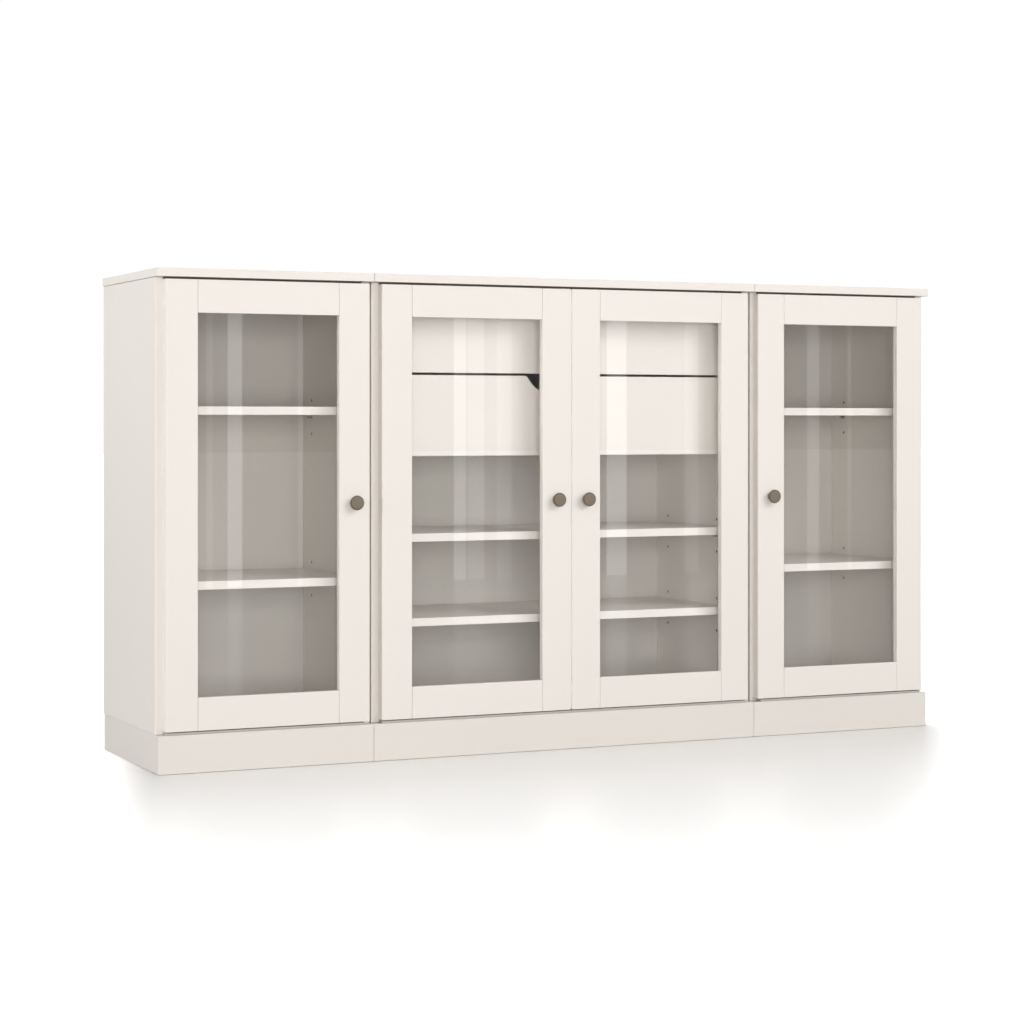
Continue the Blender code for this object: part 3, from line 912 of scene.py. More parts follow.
    @staticmethod
    def aimed(mesh: bmesh.types.BMesh, spot: Sequence[float],
              direction: Sequence[float]) -> bmesh.types.BMesh:
        """Turn a mesh so that its +Y points along a direction, and move it to a spot.

        Args:
            mesh: The mesh, built about the origin.
            spot: Where its origin goes.
            direction: Where its +Y points.

        Returns:
            The same mesh.
        """
        turn = Vector((0.0, 1.0, 0.0)).rotation_difference(Vector(direction)).to_matrix().to_4x4()
        mesh.transform(Matrix.Translation(Vector(spot)) @ turn)
        return mesh

    @staticmethod
    def joined(parts: Sequence[bmesh.types.BMesh]) -> bmesh.types.BMesh:
        """Gather several closed solids in one mesh.

        Args:
            parts: The solids, which are used up.

        Returns:
            The mesh that holds them all.
        """
        whole = bmesh.new()
        for part in parts:
            scratch = bpy.data.meshes.new("scratch")
            part.to_mesh(scratch)
            part.free()
            whole.from_mesh(scratch)
            bpy.data.meshes.remove(scratch)
        return whole


@dataclass
class Workshop:
    """Makes named pieces out of meshes and keeps count of them."""

    palette: Palette
    round_over: float = math.radians(35)
    crease: float = math.radians(38)
    made: list[str] = field(default_factory=list)

    def piece(self, name: str, mesh: bmesh.types.BMesh, finish: Finish, body: Body,
              stands_for: Sequence[str] = (), arris: float = 0.0, rounds: int = 2,
              spot: Optional[Sequence[float]] = None) -> bpy.types.Object:
        """Finish a mesh and fasten it to a body.

        Args:
            name: The piece's name.
            mesh: Its solid, which is used up.
            finish: Its finish.
            body: The body it rides on.
            stands_for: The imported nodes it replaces.
            arris: How wide its edges are rounded, or zero to leave them.
            rounds: How many facets a rounded edge has.
            spot: Where its own origin goes when the mesh is built about the origin.

        Returns:
            The piece.
        """
        data = bpy.data.meshes.new(name)
        mesh.to_mesh(data)
        mesh.free()
        for face in data.polygons:
            face.use_smooth = True
        data.materials.append(self.palette.of(finish))
        made = bpy.data.objects.new(name, data)
        bpy.context.scene.collection.objects.link(made)
        if spot is not None:
            made.location = spot
        if arris:
            edge = made.modifiers.new("rounded_arris", "BEVEL")
            edge.width = arris
            edge.segments = rounds
            edge.limit_method = "ANGLE"
            edge.angle_limit = self.round_over
            edge.harden_normals = True
        else:
            data.set_sharp_from_angle(angle=self.crease)
        if stands_for:
            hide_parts(*stands_for)
        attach(made, body.value)
        self.made.append(name)
        LOG.info("%s rides on %s", name, body.value)
        return made


@dataclass
class Fasteners:
    """Screws, caps and pins, each turned about the way it points."""

    shop: Workshop
    head_radius: float = 0.0038
    head_height: float = 0.0013
    recess_long: float = 0.52
    recess_short: float = 0.13
    recess_lift: float = 1.04
    hole_radius: float = 0.0025
    pin_drop: float = 0.0036
    spoon_start: float = 0.002
    spoon_end: float = 0.0095
    spoon_half: float = 0.0035
    spoon_low: float = 0.0012
    touch: float = 0.0001

    def screw(self, name: str, spot: Sequence[float], direction: Sequence[float], body: Body,
              radius: Optional[float] = None) -> None:
        """Set a pan-head screw with a cross recess, drawn as a thin dark cross of painted shade on its head.

        Args:
            name: The piece's name.
            spot: The middle of the surface it sits on.
            direction: The way its head looks.
            body: The body it rides on.
            radius: The head's radius, or None for the usual one.
        """
        r = radius or self.head_radius
        h = self.head_height
        profile = [(r, 0.0), (r * 0.98, h * 0.45), (r * 0.8, h * 0.85), (r * 0.45, h), (0.0, h)]
        dome = Shape.turned(profile, 20)
        ways = (self.recess_long, self.recess_short)
        arms = [
            Shape.board((-r * one, h, -r * two), (r * one, h * self.recess_lift, r * two))
            for one, two in (ways, ways[::-1])
        ]
        self.shop.piece(name, Shape.aimed(dome, spot, direction), self.shop.palette.steel, body)
        # The recess is painted shade: a thin dark cross raised on the head.
        recess = Shape.aimed(Shape.joined(arms), spot, direction)
        self.shop.piece(name + "_recess", recess, self.shop.palette.recess_shade, body)

    def bumper(self, name: str, spot: Sequence[float], direction: Sequence[float], body: Body) -> None:
        """Stick a soft clear dome where a door meets its carcass."""
        dome = Shape.turned([(0.004, 0.0), (0.0038, 0.0008), (0.003, 0.0014), (0.0, 0.0017)], 20)
        self.shop.piece(name, Shape.aimed(dome, spot, direction), self.shop.palette.bumper, body)

    def shelf_pin(self, name: str, spot: Sequence[float], inward: int) -> None:
        """Set a steel pin with a collar and a flat spoon under a shelf's end.

        Args:
            name: The piece's name.
            spot: The point on the wall straight under the shelf.
            inward: The sign of X that points into the cabinet.
        """
        x, y, z = spot
        r, collar = self.hole_radius, self.spoon_half
        profile = [(r, -0.0006), (collar, -0.0006), (collar, 0.0006), (r, 0.0008), (r, 0.008)]
        shank = Shape.aimed(Shape.turned(profile, 18), (x, y, z - self.pin_drop), (inward, 0, 0))
        near, far = sorted((x + inward * self.spoon_start, x + inward * self.spoon_end))
        half = self.spoon_half
        spoon = Shape.board((near, y - half, z - self.spoon_low), (far, y + half, z - self.touch))
        self.shop.piece(name, Shape.joined([shank, spoon]), self.shop.palette.steel, Body.CARCASS)

    def painted_hole_shade(self, name: str, spot: Sequence[float], inward: int) -> None:
        """Show the mouth of a spare pin hole in a wall as a dark disc, painted shade for the hollow."""
        mouth = Shape.turned([(self.hole_radius, -0.0002), (self.hole_radius, 0.00005), (0.0, 0.00005)], 20)
        self.shop.piece(name, Shape.aimed(mouth, spot, (inward, 0, 0)), self.shop.palette.recess_shade, Body.CARCASS)


@dataclass
class Carcass:
    """The fixed boards of one cabinet: top, sides, bottom, back and plinth."""

    shop: Workshop
    unit: Unit
    arris: float = 0.0009
    strip_arris: float = 0.0008
    groove_depth: float = 0.005
    groove_play: float = 0.0003
    plinth_board: float = 0.015
    plinth_joint: float = 0.0002
    block_leg: float = 0.028
    block_foot: float = 0.012
    block_head: float = 0.004
    block_arris: float = 0.001
    reveal_shade_play: float = 0.0004
    reveal_shade_set_in: float = 0.0002
    reveal_shade_depth: float = 0.004
    reveal_shade_drop: float = 0.0065
    slot_shade_reach: float = 0.0165
    slot_shade_play: float = 0.0003
    slot_shade_height: float = 0.0043
    touch: float = 0.0001

    def _put(self, part: str, mesh: bmesh.types.BMesh, finish: Finish, arris: float,
             stands_for: Sequence[str] = ()) -> None:
        """Fasten a piece to the carcass, under the cabinet's name."""
        self.shop.piece(f"{self.unit.value}_{part}", mesh, finish, Body.CARCASS, stands_for, arris)

    def _box(self, part: str) -> tuple[Vector, Vector]:
        """Give the lowest and highest corners of one of the cabinet's solids."""
        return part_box(f"{self.unit.value}_{part}")

    def _board(self, part: str, finish: Finish) -> None:
        """Replace a plain board with one that has rounded edges."""
        board = Shape.board(*self._box(part))
        self._put(part + "_dressed", board, finish, self.arris, [f"{self.unit.value}_{part}"])

    def _side(self, hand: Hand) -> None:
        """Replace a side panel, groove included.

        Args:
            hand: Which side of the cabinet it stands on.
        """
        part = f"side_panel_{'l' if hand is Hand.LEFT else 'r'}"
        low, high = self._box(part)
        back_low, back_high = self._box("back_panel")
        ys = (low.y, back_low.y - self.groove_play, back_high.y + self.groove_play, high.y)
        if hand is Hand.LEFT:
            xs = (low.x, high.x - self.groove_depth, high.x)
        else:
            xs = (low.x, low.x + self.groove_depth, high.x)
        groove = (1 if hand is Hand.LEFT else 0, 1)
        mesh = Shape.stepped(xs, ys, (low.z, high.z), lambda i, j, k: (i, j) != groove)
        stands_for = [f"{self.unit.value}_{part}"]
        self._put(part + "_dressed", mesh, self.shop.palette.lacquer, self.arris, stands_for)

    def _plinth(self) -> None:
        """Replace the plinth ring with four boards and corner blocks."""
        palette = self.shop.palette
        low, high = self._box("plinth")
        t = self.plinth_board
        y0, y1 = low.y + t + self.plinth_joint, high.y - t - self.plinth_joint
        boards = {
            "front": (low, (high.x, low.y + t, high.z)),
            "rear": ((low.x, high.y - t, low.z), high),
            "end_l": ((low.x, y0, low.z), (low.x + t, y1, high.z)),
            "end_r": ((high.x - t, y0, low.z), (high.x, y1, high.z)),
        }
        for label, corners in boards.items():
            stands_for = [f"{self.unit.value}_plinth"] if label == "front" else []
            board = Shape.board(*corners)
            # The plinth boards take the darker lacquer, painted shade low down.
            self._put(f"plinth_{label}", board, palette.shaded_plinth_lacquer, self.arris, stands_for)
        for side, sx, x in (("l", 1, low.x + t), ("r", -1, high.x - t)):
            for end, sy, y in (("f", 1, low.y + t), ("b", -1, high.y - t)):
                outline = [(x, y), (x + sx * self.block_leg, y), (x, y + sy * self.block_leg)]
                block = Shape.prism(outline, low.z + self.block_foot, high.z - self.block_head, 2)
                self._put(f"plinth_block_{side}{end}", block, palette.drawer, self.block_arris)

    def _hang_reveal_shade(self) -> None:
        """Hang a dark strip under the top, behind the reveal above the doors, as painted shade that keeps
        the reveal dark.
        """
        left, right = self._box("side_panel_l"), self._box("side_panel_r")
        top = self._box("top_panel")[0].z
        y = left[0].y + self.reveal_shade_set_in
        mesh = Shape.board(
            (left[1].x + self.reveal_shade_play, y, top - self.reveal_shade_drop),
            (right[0].x - self.reveal_shade_play, y + self.reveal_shade_depth, top - self.touch),
        )
        self._put("reveal_painted_shade", mesh, self.shop.palette.brush, self.strip_arris)

    def _foot_seal(self) -> None:
        """Lay a mid-grey strip on the plinth's top, under the doors, as painted shade in the slot between
        door and plinth.
        """
        low, high = self._box("bottom_panel")
        z = self._box("plinth")[1].z
        mesh = Shape.board(
            (low.x, low.y - self.slot_shade_reach, z + self.touch),
            (high.x, low.y - self.slot_shade_play, z + self.slot_shade_height),
        )
        self._put("foot_seal", mesh, self.shop.palette.foot, self.strip_arris)

    def build(self) -> None:
        """Build every board of the cabinet."""
        palette = self.shop.palette
        self._board("top_panel", palette.top_lacquer)
        self._board("bottom_panel", palette.inner_lacquer)
        self._board("back_panel", palette.back)
        for hand in Hand:
            self._side(hand)
        self._plinth()
        self._hang_reveal_shade()
        self._foot_seal()


@dataclass
class Shelf:
    """A loose shelf with its four pins and the spare holes near them."""

    shop: Workshop
    node: str
    pin_inset: float = 0.045
    hole_pitch: float = 0.032
    band: float = 0.001
    glue: float = 0.00005
    arris: float = 0.0002
    band_arris: float = 0.0004

    def build(self, wall_l: float, wall_r: float) -> None:
        """Build the shelf and what carries it.

        Args:
            wall_l: X of the wall on its left.
            wall_r: X of the wall on its right.
        """
        low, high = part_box(self.node)
        palette = self.shop.palette
        board = Shape.board((low.x, low.y + self.band, low.z), high)
        band = Shape.board(low, (high.x, low.y + self.band - self.glue, high.z))
        self.shop.piece(
            self.node + "_dressed", board, palette.inner_lacquer, Body.CARCASS, [self.node], self.arris, 1,
        )
        # The edge band takes the brighter lacquer, a painted sheen.
        self.shop.piece(
            self.node + "_edge_band", band, palette.painted_light_lacquer, Body.CARCASS, [], self.band_arris,
        )
        fasteners = Fasteners(self.shop)
        for side, inward, wall in (("l", 1, wall_l), ("r", -1, wall_r)):
            for end, y in (("f", low.y + self.pin_inset), ("b", high.y - self.pin_inset)):
                tag = f"{self.node}_{side}{end}"
                fasteners.shelf_pin(f"{tag}_pin", (wall, y, low.z), inward)
                for label, step in (("down", -1), ("up", 1)):
                    spot = (wall, y, low.z - fasteners.pin_drop + step * self.hole_pitch)
                    fasteners.painted_hole_shade(f"{tag}_hole_{label}", spot, inward)


@dataclass
class Hinge:
    """The visible parts of a concealed hinge beyond its solids."""

    shop: Workshop
    name: str
    door: Body
    hand: Hand
    label: str
    cup_setback: float
    ear_reach: float = 0.024
    ear_thickness: float = 0.0016
    plate_reach: float = 0.021
    plate_thickness: float = 0.0025
    plate_behind: float = 0.0395
    arm_height: float = 0.0122
    arm_screws: tuple[tuple[str, float], ...] = (("reach", 0.024), ("lock", 0.050))
    arm_screw_radius: float = 0.0032
    pivot_height: float = 0.0098
    pivot_sink: float = 0.0012
    pivot_radius: float = 0.0016
    pivot_half: float = 0.0049

    def build(self) -> None:
        """Give cup and arm their plating and set their screws and pivot."""
        palette = self.shop.palette
        cup = f"{self.name}_hinge_cup_{self.label}"
        arm = f"{self.name}_hinge_arm_{self.label}"
        for node in (cup, arm):
            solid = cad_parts[node]
            solid.data.materials.clear()
            solid.data.materials.append(palette.of(palette.steel))
        low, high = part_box(cup)
        z = (low.z + high.z) / 2
        door_low, door_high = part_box(f"{self.name}_frame")
        arm_low, arm_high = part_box(arm)
        edge, wall = (door_low.x, arm_low.x) if self.hand is Hand.LEFT else (door_high.x, arm_high.x)
        back = door_high.y
        inward = -self.hand.value
        across = (inward, 0, 0)
        fasteners = Fasteners(self.shop)
        x_cup, x_plate = edge + inward * self.cup_setback, wall + inward * self.plate_thickness
        for sign, tag in ((1, "a"), (-1, "b")):
            spot = (x_cup, back + self.ear_thickness, z + sign * self.ear_reach)
            fasteners.screw(f"{cup}_screw_{tag}", spot, (0, 1, 0), self.door)
        for sign, tag in ((1, "a"), (-1, "b")):
            spot = (x_plate, back + self.plate_behind, z + sign * self.plate_reach)
            fasteners.screw(f"{arm}_screw_{tag}", spot, across, Body.CARCASS)
        for tag, behind in self.arm_screws:
            spot = (wall + inward * self.arm_height, back + behind, z)
            fasteners.screw(f"{arm}_{tag}", spot, across, Body.CARCASS, self.arm_screw_radius)
        pin = Shape.turned([(self.pivot_radius, -self.pivot_half), (self.pivot_radius, self.pivot_half)], 16)
        spot = (wall + inward * self.pivot_height, back - self.pivot_sink, z)
        self.shop.piece(f"{arm}_pivot", Shape.aimed(pin, spot, (0, 0, 1)), palette.steel, Body.CARCASS)


@dataclass
class Door:
    """A framed glass door: stiles, rails, pane, beads, knob and hinges."""

    shop: Workshop
    body: Body
    hand: Hand
    member: float = 0.059
    rebate: float = 0.008
    recess: float = 0.008
    joint: float = 0.00025
    arris: float = 0.0009
    cup_setback: float = 0.022
    bore_radius: float = 0.0175
    bore_depth: float = 0.0118
    bore_run_out: float = 0.01
    pane_arris: float = 0.0005
    bead: float = 0.0068
    bead_start: float = 0.0002
    bead_end: float = 0.0045
    bead_joint: float = 0.0003
    bead_arris: float = 0.0012
    seal_thickness: float = 0.0022
    seal_inset: float = 0.0005
    seal_width: float = 0.0065
    seal_short: float = 0.0015
    seal_arris: float = 0.0006
    meeting_thickness: float = 0.0013
    meeting_front: float = 0.0011
    meeting_back: float = 0.0012
    meeting_arris: float = 0.0004
    bumper_inset: float = 0.012
    bumper_top: float = 0.014
    bumper_foot: float = 0.016
    knob_screw_radius: float = 0.0042

    @property
    def name(self) -> str:
        """The door's name."""
        return self.body.value

    @property
    def span(self) -> tuple[Vector, Vector]:
        """The frame's lowest and highest corners."""
        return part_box(f"{self.name}_frame")

    @property
    def edges(self) -> tuple[float, float]:
        """X of the edge at the hinges and X of the free edge."""
        low, high = self.span
        return (low.x, high.x) if self.hand is Hand.LEFT else (high.x, low.x)

    def _put(self, part: str, mesh: bmesh.types.BMesh, finish: Finish, arris: float = 0.0, rounds: int = 2,
             stands_for: Sequence[str] = ()) -> None:
        """Fasten a piece to the door, under the door's name."""
        self.shop.piece(f"{self.name}_{part}", mesh, finish, self.body, stands_for, arris, rounds)

    def build(self) -> None:
        """Build the whole door."""
        self._members()
        self._glazing()
        self._knob()
        for label in ("upper", "lower"):
            Hinge(self.shop, self.name, self.body, self.hand, label, self.cup_setback).build()
        self._seals()
        if self.body in (Body.MIDDLE_LEFT_DOOR, Body.MIDDLE_RIGHT_DOOR):
            self._meeting_seal()
        self._bumpers()

    def _bores(self) -> list[bmesh.types.BMesh]:
        """Make the cutters that leave room for the hinge cups.

        Returns:
            One cutter for each hinge.
        """
        back = self.span[1].y
        x = self.edges[0] - self.hand.value * self.cup_setback
        ends = (back - self.bore_depth, back + self.bore_run_out)
        bores = []
        for label in ("upper", "lower"):
            cup_low, cup_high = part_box(f"{self.name}_hinge_cup_{label}")
            bore = Shape.turned([(self.bore_radius, y) for y in ends], 48)
            bore.transform(Matrix.Translation((x, 0.0, (cup_low.z + cup_high.z) / 2)))
            bores.append(bore)
        return bores

    def _members(self) -> None:
        """Cut the two stiles and two rails, with a rebate for the pane all round."""
        low, high = self.span
        m, r = self.member, self.rebate
        lacquer = self.shop.palette.lacquer
        ys = (low.y, low.y + self.recess, high.y)
        zs = (low.z, low.z + m - r, high.z - m + r, high.z)
        xs = (low.x, low.x + m - r, low.x + m)
        left = Shape.stepped(xs, ys, zs, lambda i, j, k: (i, j, k) != (1, 1, 1))
        xs = (high.x - m, high.x - m + r, high.x)
        right = Shape.stepped(xs, ys, zs, lambda i, j, k: (i, j, k) != (0, 1, 1))
        if self.hand is Hand.LEFT:
            left = Shape.bored(left, self._bores())
        else:
            right = Shape.bored(right, self._bores())
        xs = (low.x + m + self.joint, high.x - m - self.joint)
        foot = Shape.stepped(xs, ys, (low.z, low.z + m - r, low.z + m), lambda i, j, k: (j, k) != (1, 1))
        head = Shape.stepped(xs, ys, (high.z - m, high.z - m + r, high.z), lambda i, j, k: (j, k) != (1, 0))
        self._put("stile_l", left, lacquer, self.arris, stands_for=[f"{self.name}_frame"])
        self._put("stile_r", right, lacquer, self.arris)
        self._put("rail_foot", foot, lacquer, self.arris)
        self._put("rail_head", head, lacquer, self.arris)

    def _glazing(self) -> None:
        """Set the pane and the beads that hold it from behind."""
        low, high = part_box(f"{self.name}_glass")
        pane = Shape.board(low, high)
        self._put("pane", pane, self.shop.palette.glass, self.pane_arris, 1, [f"{self.name}_glass"])
        y0, y1 = high.y + self.bead_start, high.y + self.bead_end
        b = self.bead
        x0, x1 = low.x + b + self.bead_joint, high.x - b - self.bead_joint
        strips = {
            "l": ((low.x, y0, low.z), (low.x + b, y1, high.z)),
            "r": ((high.x - b, y0, low.z), (high.x, y1, high.z)),
            "foot": ((x0, y0, low.z), (x1, y1, low.z + b)),
            "head": ((x0, y0, high.z - b), (x1, y1, high.z)),
        }
        for label, corners in strips.items():
            self._put(f"bead_{label}", Shape.board(*corners), self.shop.palette.lacquer, self.bead_arris, 3)

    def _knob(self) -> None:
        """Turn the knob and set its screw on the door's back."""
        low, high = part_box(f"{self.name}_knob")
        centre = ((low.x + high.x) / 2, high.y, (low.z + high.z) / 2)
        r = (high.x - low.x) / 2
        d = high.y - low.y
        profile = [
            (0.0, 0.0), (0.0085, 0.0), (0.0087, -0.0006), (0.0084, -0.0016), (0.0072, -0.0024),
            (0.0060, -0.0034), (0.0055, -0.0048), (0.0056, -0.0064), (0.0066, -0.0080), (0.0088, -0.0093),
            (0.0112, -0.0101), (r - 0.0007, -0.0110), (r - 0.0001, -0.0119), (r, -0.0128),
            (r - 0.0002, -0.0139), (r - 0.0008, -0.0148), (r - 0.0019, -0.0153), (r - 0.0028, -d + 0.0003),
            (r - 0.0045, -d + 0.0001), (0.0045, -d), (0.0, -d),
        ]
        self.shop.piece(
            f"{self.name}_turned_knob", Shape.turned(profile, 72), self.shop.palette.bronze, self.body,
            [f"{self.name}_knob"], spot=centre,
        )
        spot = (centre[0], self.span[1].y, centre[2])
        fasteners = Fasteners(self.shop)
        fasteners.screw(f"{self.name}_knob_screw", spot, (0, 1, 0), self.body, self.knob_screw_radius)

    def _seals(self) -> None:
        """Stick a soft seal along the back of each stile."""
        low, high = self.span
        y0, y1 = high.y, high.y + self.seal_thickness
        z0, z1 = low.z + self.seal_short, high.z - self.seal_short
        inset, width = self.seal_inset, self.seal_width
        strips = {"l": (low.x + inset, low.x + inset + width), "r": (high.x - inset - width, high.x - inset)}
        for label, (x0, x1) in strips.items():
            strip = Shape.board((x0, y0, z0), (x1, y1, z1))
            self._put(f"seal_{label}", strip, self.shop.palette.seal, self.seal_arris)

    def _meeting_seal(self) -> None:
        """Line the free edge where the middle doors meet."""
        low, high = self.span
        edge = self.edges[1]
        x0, x1 = sorted((edge, edge - self.hand.value * self.meeting_thickness))
        y0, y1 = low.y + self.meeting_front, high.y - self.meeting_back
        strip = Shape.board((x0, y0, low.z + self.seal_short), (x1, y1, high.z - self.seal_short))
        self._put("meeting_seal", strip, self.shop.palette.seal, self.meeting_arris)

    def _bumpers(self) -> None:
        """Stick a bumper at the head and the foot of the free stile's back."""
        low, high = self.span
        x = self.edges[1] + self.hand.value * self.bumper_inset
        fasteners = Fasteners(self.shop)
        for label, z in (("top", high.z - self.bumper_top), ("foot", low.z + self.bumper_foot)):
            fasteners.bumper(f"{self.name}_bumper_{label}", (x, high.y, z), (0, 1, 0), self.body)


@dataclass
class Drawer:
    """A drawer: notched front, box boards and the runners it slides on."""

    shop: Workshop
    body: Body
    notch_half: float = 0.067
    notch_straight: float = 0.014
    notch_radius: float = 0.040
    notch_slope: float = math.radians(57)
    notch_ease: float = 0.004
    notch_steps: int = 14
    front_arris: float = 0.001
    wall: float = 0.012
    joint: float = 0.0002
    floor: float = 0.004
    floor_recess: float = 0.006
    board_arris: float = 0.0007
    front_screws: tuple[float, ...] = (-0.26, -0.12, 0.12, 0.26)
    strip_thickness: float = 0.0012
    strip_front: float = 0.004
    strip_back: float = 0.002
    strip_low: float = 0.001
    strip_high: float = 0.012

    def _notch(self) -> Iterator[tuple[float, float]]:
        """Trace the finger notch from its right lip to its left.

        Yields:
            Each point's x and its drop below the front's top edge.
        """
        reach = self.notch_straight * math.cos(self.notch_slope)
        drop = self.notch_straight * math.sin(self.notch_slope)
        ease = self.notch_ease
        half = [(self.notch_half + ease, 0.0), (self.notch_half + ease * 0.35, -ease * 0.12),
                (self.notch_half - ease * 0.25, -ease * 0.75), (self.notch_half - reach, -drop)]
        for step in range(1, self.notch_steps + 1):
            angle = self.notch_slope * (1 - step / self.notch_steps)
            along = self.notch_radius * (math.sin(self.notch_slope) - math.sin(angle))
            down = self.notch_radius * (math.cos(angle) - math.cos(self.notch_slope))
            half.append((self.notch_half - reach - along, -drop - down))
        yield from half
        yield from [(-x, z) for x, z in reversed(half)]

    def build(self) -> None:
        """Build the front, the box and the moving half of the runners."""
        name = self.body.value
        low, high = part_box(f"{name}_front")
        outline = [(low.x, low.z), (high.x, low.z), (high.x, high.z)]
        outline += [(x, high.z + z) for x, z in self._notch()]
        outline.append((low.x, high.z))
        front = Shape.prism(outline, low.y, high.y, 1)
        # The front takes the brighter lacquer, painted light behind the glass.
        self.shop.piece(
            f"{name}_front_dressed", front, self.shop.palette.painted_light_lacquer, self.body, [f"{name}_front"],
            self.front_arris,
        )
        self._box(name, *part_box(f"{name}_box"))
        self._strips(name, *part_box(f"{name}_box"))

    def _box(self, name: str, low: Vector, high: Vector) -> None:
        """Build the box of five boards and the screws that hold its front.

        Args:
            name: The drawer's name.
            low: The box's lowest corner.
            high: The box's highest corner.
        """
        t, gap = self.wall, self.wall + self.joint
        z0 = low.z + self.floor_recess
        boards = {
            "side_l": (low, (low.x + t, high.y, high.z)),
            "side_r": ((high.x - t, low.y, low.z), high),
            "rear": ((low.x + gap, high.y - t, low.z), (high.x - gap, high.y, high.z)),
            "inner_front": ((low.x + gap, low.y, low.z), (high.x - gap, low.y + t, high.z)),
            "floor": ((low.x + gap, low.y + gap, z0), (high.x - gap, high.y - gap, z0 + self.floor)),
        }
        for label, corners in boards.items():
            self.shop.piece(
                f"{name}_{label}", Shape.board(*corners), self.shop.palette.drawer, self.body,
                [f"{name}_box"] if label == "floor" else [], self.board_arris,
            )
        fasteners = Fasteners(self.shop)
        for x in self.front_screws:
            spot = (x, low.y + t, (low.z + high.z) / 2)
            fasteners.screw(f"{name}_front_screw_{int(x * 100) + 50}", spot, (0, 1, 0), self.body)

    def _strips(self, name: str, low: Vector, high: Vector) -> None:
        """Fasten the runner strips to the box's sides.

        Args:
            name: The drawer's name.
            low: The box's lowest corner.
            high: The box's highest corner.
        """
        y0, y1 = low.y + self.strip_front, high.y - self.strip_back
        for label, sign, x in (("l", -1, low.x), ("r", 1, high.x)):
            x0, x1 = sorted((x, x + sign * self.strip_thickness))
            strip = Shape.board((x0, y0, low.z + self.strip_low), (x1, y1, low.z + self.strip_high))
            self.shop.piece(f"{name}_strip_{label}", strip, self.shop.palette.steel, self.body)


@dataclass
class DrawerGuides:
    """The packing panels beside the drawers and the steel ledges they run on."""

    shop: Workshop
    panel_arris: float = 0.0009
    ledge_depth: float = 0.020
    ledge_lip: float = 0.020
    ledge_steel: float = 0.0013
    ledge_arris: float = 0.0004
    end_gap: float = 0.001
    drawer_play: float = 0.0003
    screw_inset: float = 0.035
    screw_rise: float = 0.011
    screw_radius: float = 0.003

    def build(self) -> None:
        """Build each panel and its two ledges."""
        for label, inward in (("l", 1), ("r", -1)):
            node = f"drawer_spacer_{label}"
            low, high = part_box(node)
            face = high.x - self.ledge_depth if inward > 0 else low.x + self.ledge_depth
            outer = low.x if inward > 0 else high.x
            x0, x1 = sorted((outer, face))
            panel = Shape.board((x0, low.y, low.z), (x1, high.y, high.z))
            lacquer = self.shop.palette.lacquer
            self.shop.piece(node + "_panel", panel, lacquer, Body.CARCASS, [node], self.panel_arris)
            for drawer in (Body.LOWER_DRAWER, Body.UPPER_DRAWER):
                self._ledge(label, inward, face, low.y, high.y, drawer)

    def _ledge(self, label: str, inward: int, face: float, y0: float, y1: float, drawer: Body) -> None:
        """Fold one steel ledge and screw it to its panel.

        Args:
            label: The panel's letter.
            inward: The sign of X that points into the cabinet.
            face: X of the panel's inner face.
            y0: Where the panel starts.
            y1: Where it ends.
            drawer: The drawer that runs on the ledge.
        """
        z_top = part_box(f"{drawer.value}_box")[0].z - self.drawer_play
        near, bend, far = face, face + inward * self.ledge_steel, face + inward * self.ledge_depth
        xs = sorted((near, bend, far))
        zs = (z_top - self.ledge_steel, z_top, z_top + self.ledge_lip)
        upright = 0 if inward > 0 else 1
        ys = (y0 + self.end_gap, y1 - self.end_gap)
        mesh = Shape.stepped(xs, ys, zs, lambda i, j, k: k == 0 or i == upright)
        name = f"drawer_ledge_{label}_{drawer.value}"
        self.shop.piece(name, mesh, self.shop.palette.steel, Body.CARCASS, [], self.ledge_arris)
        fasteners = Fasteners(self.shop)
        for tag, y in (("f", y0 + self.screw_inset), ("b", y1 - self.screw_inset)):
            spot = (bend, y, z_top + self.screw_rise)
            fasteners.screw(f"{name}_screw_{tag}", spot, (inward, 0, 0), Body.CARCASS, self.screw_radius)


@dataclass(frozen=True)
class SoftBox:
    """One rectangular lamp and where it looks."""

    name: str
    spot: Point
    aim: Point
    width: float
    height: float
    power: float
    colour: Colour = (1.0, 0.985, 0.962)
    mirrored: bool = False

    def hang(self) -> None:
        """Put the lamp in the scene, unseen itself, and mirrored by glossy faces only if it says so."""
        data = bpy.data.lights.new(self.name, "AREA")
        data.shape = "RECTANGLE"
        data.size = self.width
        data.size_y = self.height
        data.energy = self.power
        data.color = self.colour
        light = bpy.data.objects.new(self.name, data)
        bpy.context.scene.collection.objects.link(light)
        light.visible_camera = False
        light.visible_glossy = self.mirrored
        light.location = self.spot
        light.rotation_euler = (Vector(self.aim) - Vector(self.spot)).to_track_quat("-Z", "Y").to_euler()


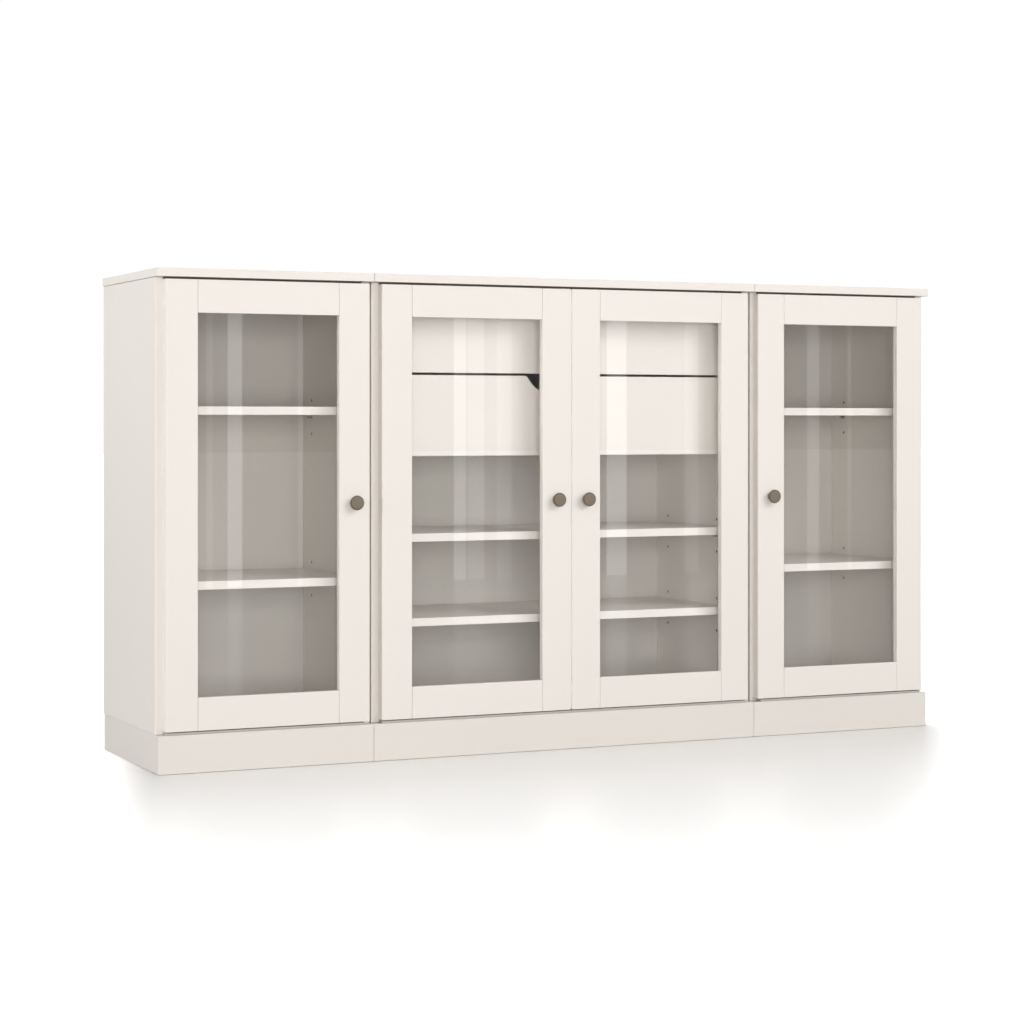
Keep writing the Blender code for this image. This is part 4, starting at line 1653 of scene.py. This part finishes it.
@dataclass
class Studio:
    """The floor, the lights and the camera."""

    palette: Palette
    lens: float = 83.13
    sensor: float = 36.0
    shift: float = -0.0893
    stand: Point = (-1.9878, -4.1893, 0.6217)
    yaw: float = 24.889
    floor_reach: float = 40.0
    floor_gap: float = 0.0004
    white: float = 1.02
    sky: float = 0.38
    dim_front: float = 0.12
    lamps: tuple[SoftBox, ...] = (
        SoftBox("key", (2.0, -4.0, 2.7), (0.0, 0.0, 0.45), 3.2, 2.4, 92.0),
        SoftBox("front", (-1.7, -5.1, 0.75), (0.0, 0.0, 0.45), 2.2, 1.4, 104.0),
        SoftBox("side", (-6.0, -0.9, 1.3), (-0.4, 0.0, 0.45), 2.4, 2.0, 142.0),
        SoftBox("rear", (2.2, 4.6, 2.2), (0.0, 0.2, 0.45), 2.4, 2.0, 110.0),
    )
    strip_wall: float = -4.6
    strip_middle: float = 0.5
    strip_height: float = 2.0
    strip_power: float = 4.0
    strips: tuple[tuple[float, float, float], ...] = (
        (0.685, 0.709, 0.4), (0.767, 0.824, 1.1), (1.044, 1.064, 0.5), (1.688, 1.741, 1.0),
        (1.747, 1.818, 0.6), (1.872, 1.937, 0.35), (2.358, 2.448, 1.15), (2.715, 2.78, 0.4),
        (3.30, 3.36, 0.7), (3.50, 3.52, 0.4),
    )

    def build(self) -> None:
        """Set everything up."""
        self._floor()
        self._sky()
        for lamp in self.lamps:
            lamp.hang()
        self._strip_lights()
        self._camera()

    def _floor(self) -> None:
        """Lay a wide floor under the cabinets."""
        mesh = bpy.data.meshes.new("studio_floor")
        reach = self.floor_reach
        round_about = ((-reach, -reach), (reach, -reach), (reach, reach), (-reach, reach))
        mesh.from_pydata([(x, y, -self.floor_gap) for x, y in round_about], [], [(0, 1, 2, 3)])
        mesh.materials.append(self.palette.of(self.palette.floor))
        floor = bpy.data.objects.new("studio_floor", mesh)
        bpy.context.scene.collection.objects.link(floor)

    def _sky(self) -> None:
        """Light everything from a surround: white to the eye, pale all round, dim in front for mirrors."""
        world = bpy.data.worlds.new("studio_sky")
        bpy.context.scene.world = world
        world.use_nodes = True
        graph = Graph(world.node_tree)
        background = world.node_tree.nodes["Background"]
        path = graph.add("LightPath")
        toward = graph.add("TexCoord").outputs["Generated"]
        depth = graph.add("SeparateXYZ", None, Vector=toward).outputs["Y"]
        behind = graph.spread(depth, -0.35, 0.15)
        white, pale, dim = ((level,) * 3 for level in (self.white, self.sky, self.dim_front))
        mirrored = graph.blend(behind, dim, white)
        sharp = graph.math("MAXIMUM", path.outputs["Is Glossy Ray"], path.outputs["Is Transmission Ray"])
        lit = graph.blend(sharp, pale, mirrored)
        graph.feed(background, "Color", graph.blend(path.outputs["Is Camera Ray"], lit, white))

    def _strip_lights(self) -> None:
        """Stand narrow lights in a row in front; the glass mirrors them as upright bands."""
        for number, (x0, x1, glow) in enumerate(self.strips):
            spot = ((x0 + x1) / 2, self.strip_wall, self.strip_middle)
            width, height = x1 - x0, self.strip_height
            power = glow * self.strip_power * width * height
            aim = (spot[0], 0.0, spot[2])
            SoftBox(f"strip_{number}", spot, aim, width, height, power, (1.0, 1.0, 1.0), True).hang()

    def _camera(self) -> None:
        """Stand the camera level, a little to the left of the run."""
        data = bpy.data.cameras.new("camera")
        data.lens = self.lens
        data.sensor_width = self.sensor
        data.shift_y = self.shift
        camera = bpy.data.objects.new("camera", data)
        bpy.context.scene.collection.objects.link(camera)
        camera.location = self.stand
        camera.rotation_euler = (math.radians(90), 0.0, math.radians(-self.yaw))
        bpy.context.scene.camera = camera
        bpy.context.scene.view_settings.view_transform = "Standard"


def build_shelves(shop: Workshop, ledge_depth: float) -> None:
    """Build all six shelves between their walls.

    Args:
        shop: The workshop that makes the pieces.
        ledge_depth: How far the drawers' ledges stand out from the packing panels.
    """
    for unit in Unit:
        wall_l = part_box(f"{unit.value}_side_panel_l")[1].x
        wall_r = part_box(f"{unit.value}_side_panel_r")[0].x
        if unit is Unit.MIDDLE:
            wall_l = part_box("drawer_spacer_l")[1].x - ledge_depth
            wall_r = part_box("drawer_spacer_r")[0].x + ledge_depth
        for level in ("upper", "lower"):
            Shelf(shop, f"{unit.value}_shelf_{level}").build(wall_l, wall_r)


def main() -> None:
    """Build the whole run."""
    logging.basicConfig(level=logging.INFO, format="%(name)s: %(message)s")
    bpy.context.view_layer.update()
    palette = Palette()
    shop = Workshop(palette)
    for unit in Unit:
        Carcass(shop, unit).build()
    guides = DrawerGuides(shop)
    build_shelves(shop, guides.ledge_depth)
    guides.build()
    for body in (Body.LOWER_DRAWER, Body.UPPER_DRAWER):
        Drawer(shop, body).build()
    for body, hand in (
        (Body.LEFT_DOOR, Hand.LEFT), (Body.MIDDLE_LEFT_DOOR, Hand.LEFT),
        (Body.MIDDLE_RIGHT_DOOR, Hand.RIGHT), (Body.RIGHT_DOOR, Hand.RIGHT),
    ):
        Door(shop, body, hand).build()
    Studio(palette).build()
    LOG.info("%d pieces built", len(shop.made))


if __name__ == "__main__":
    main()
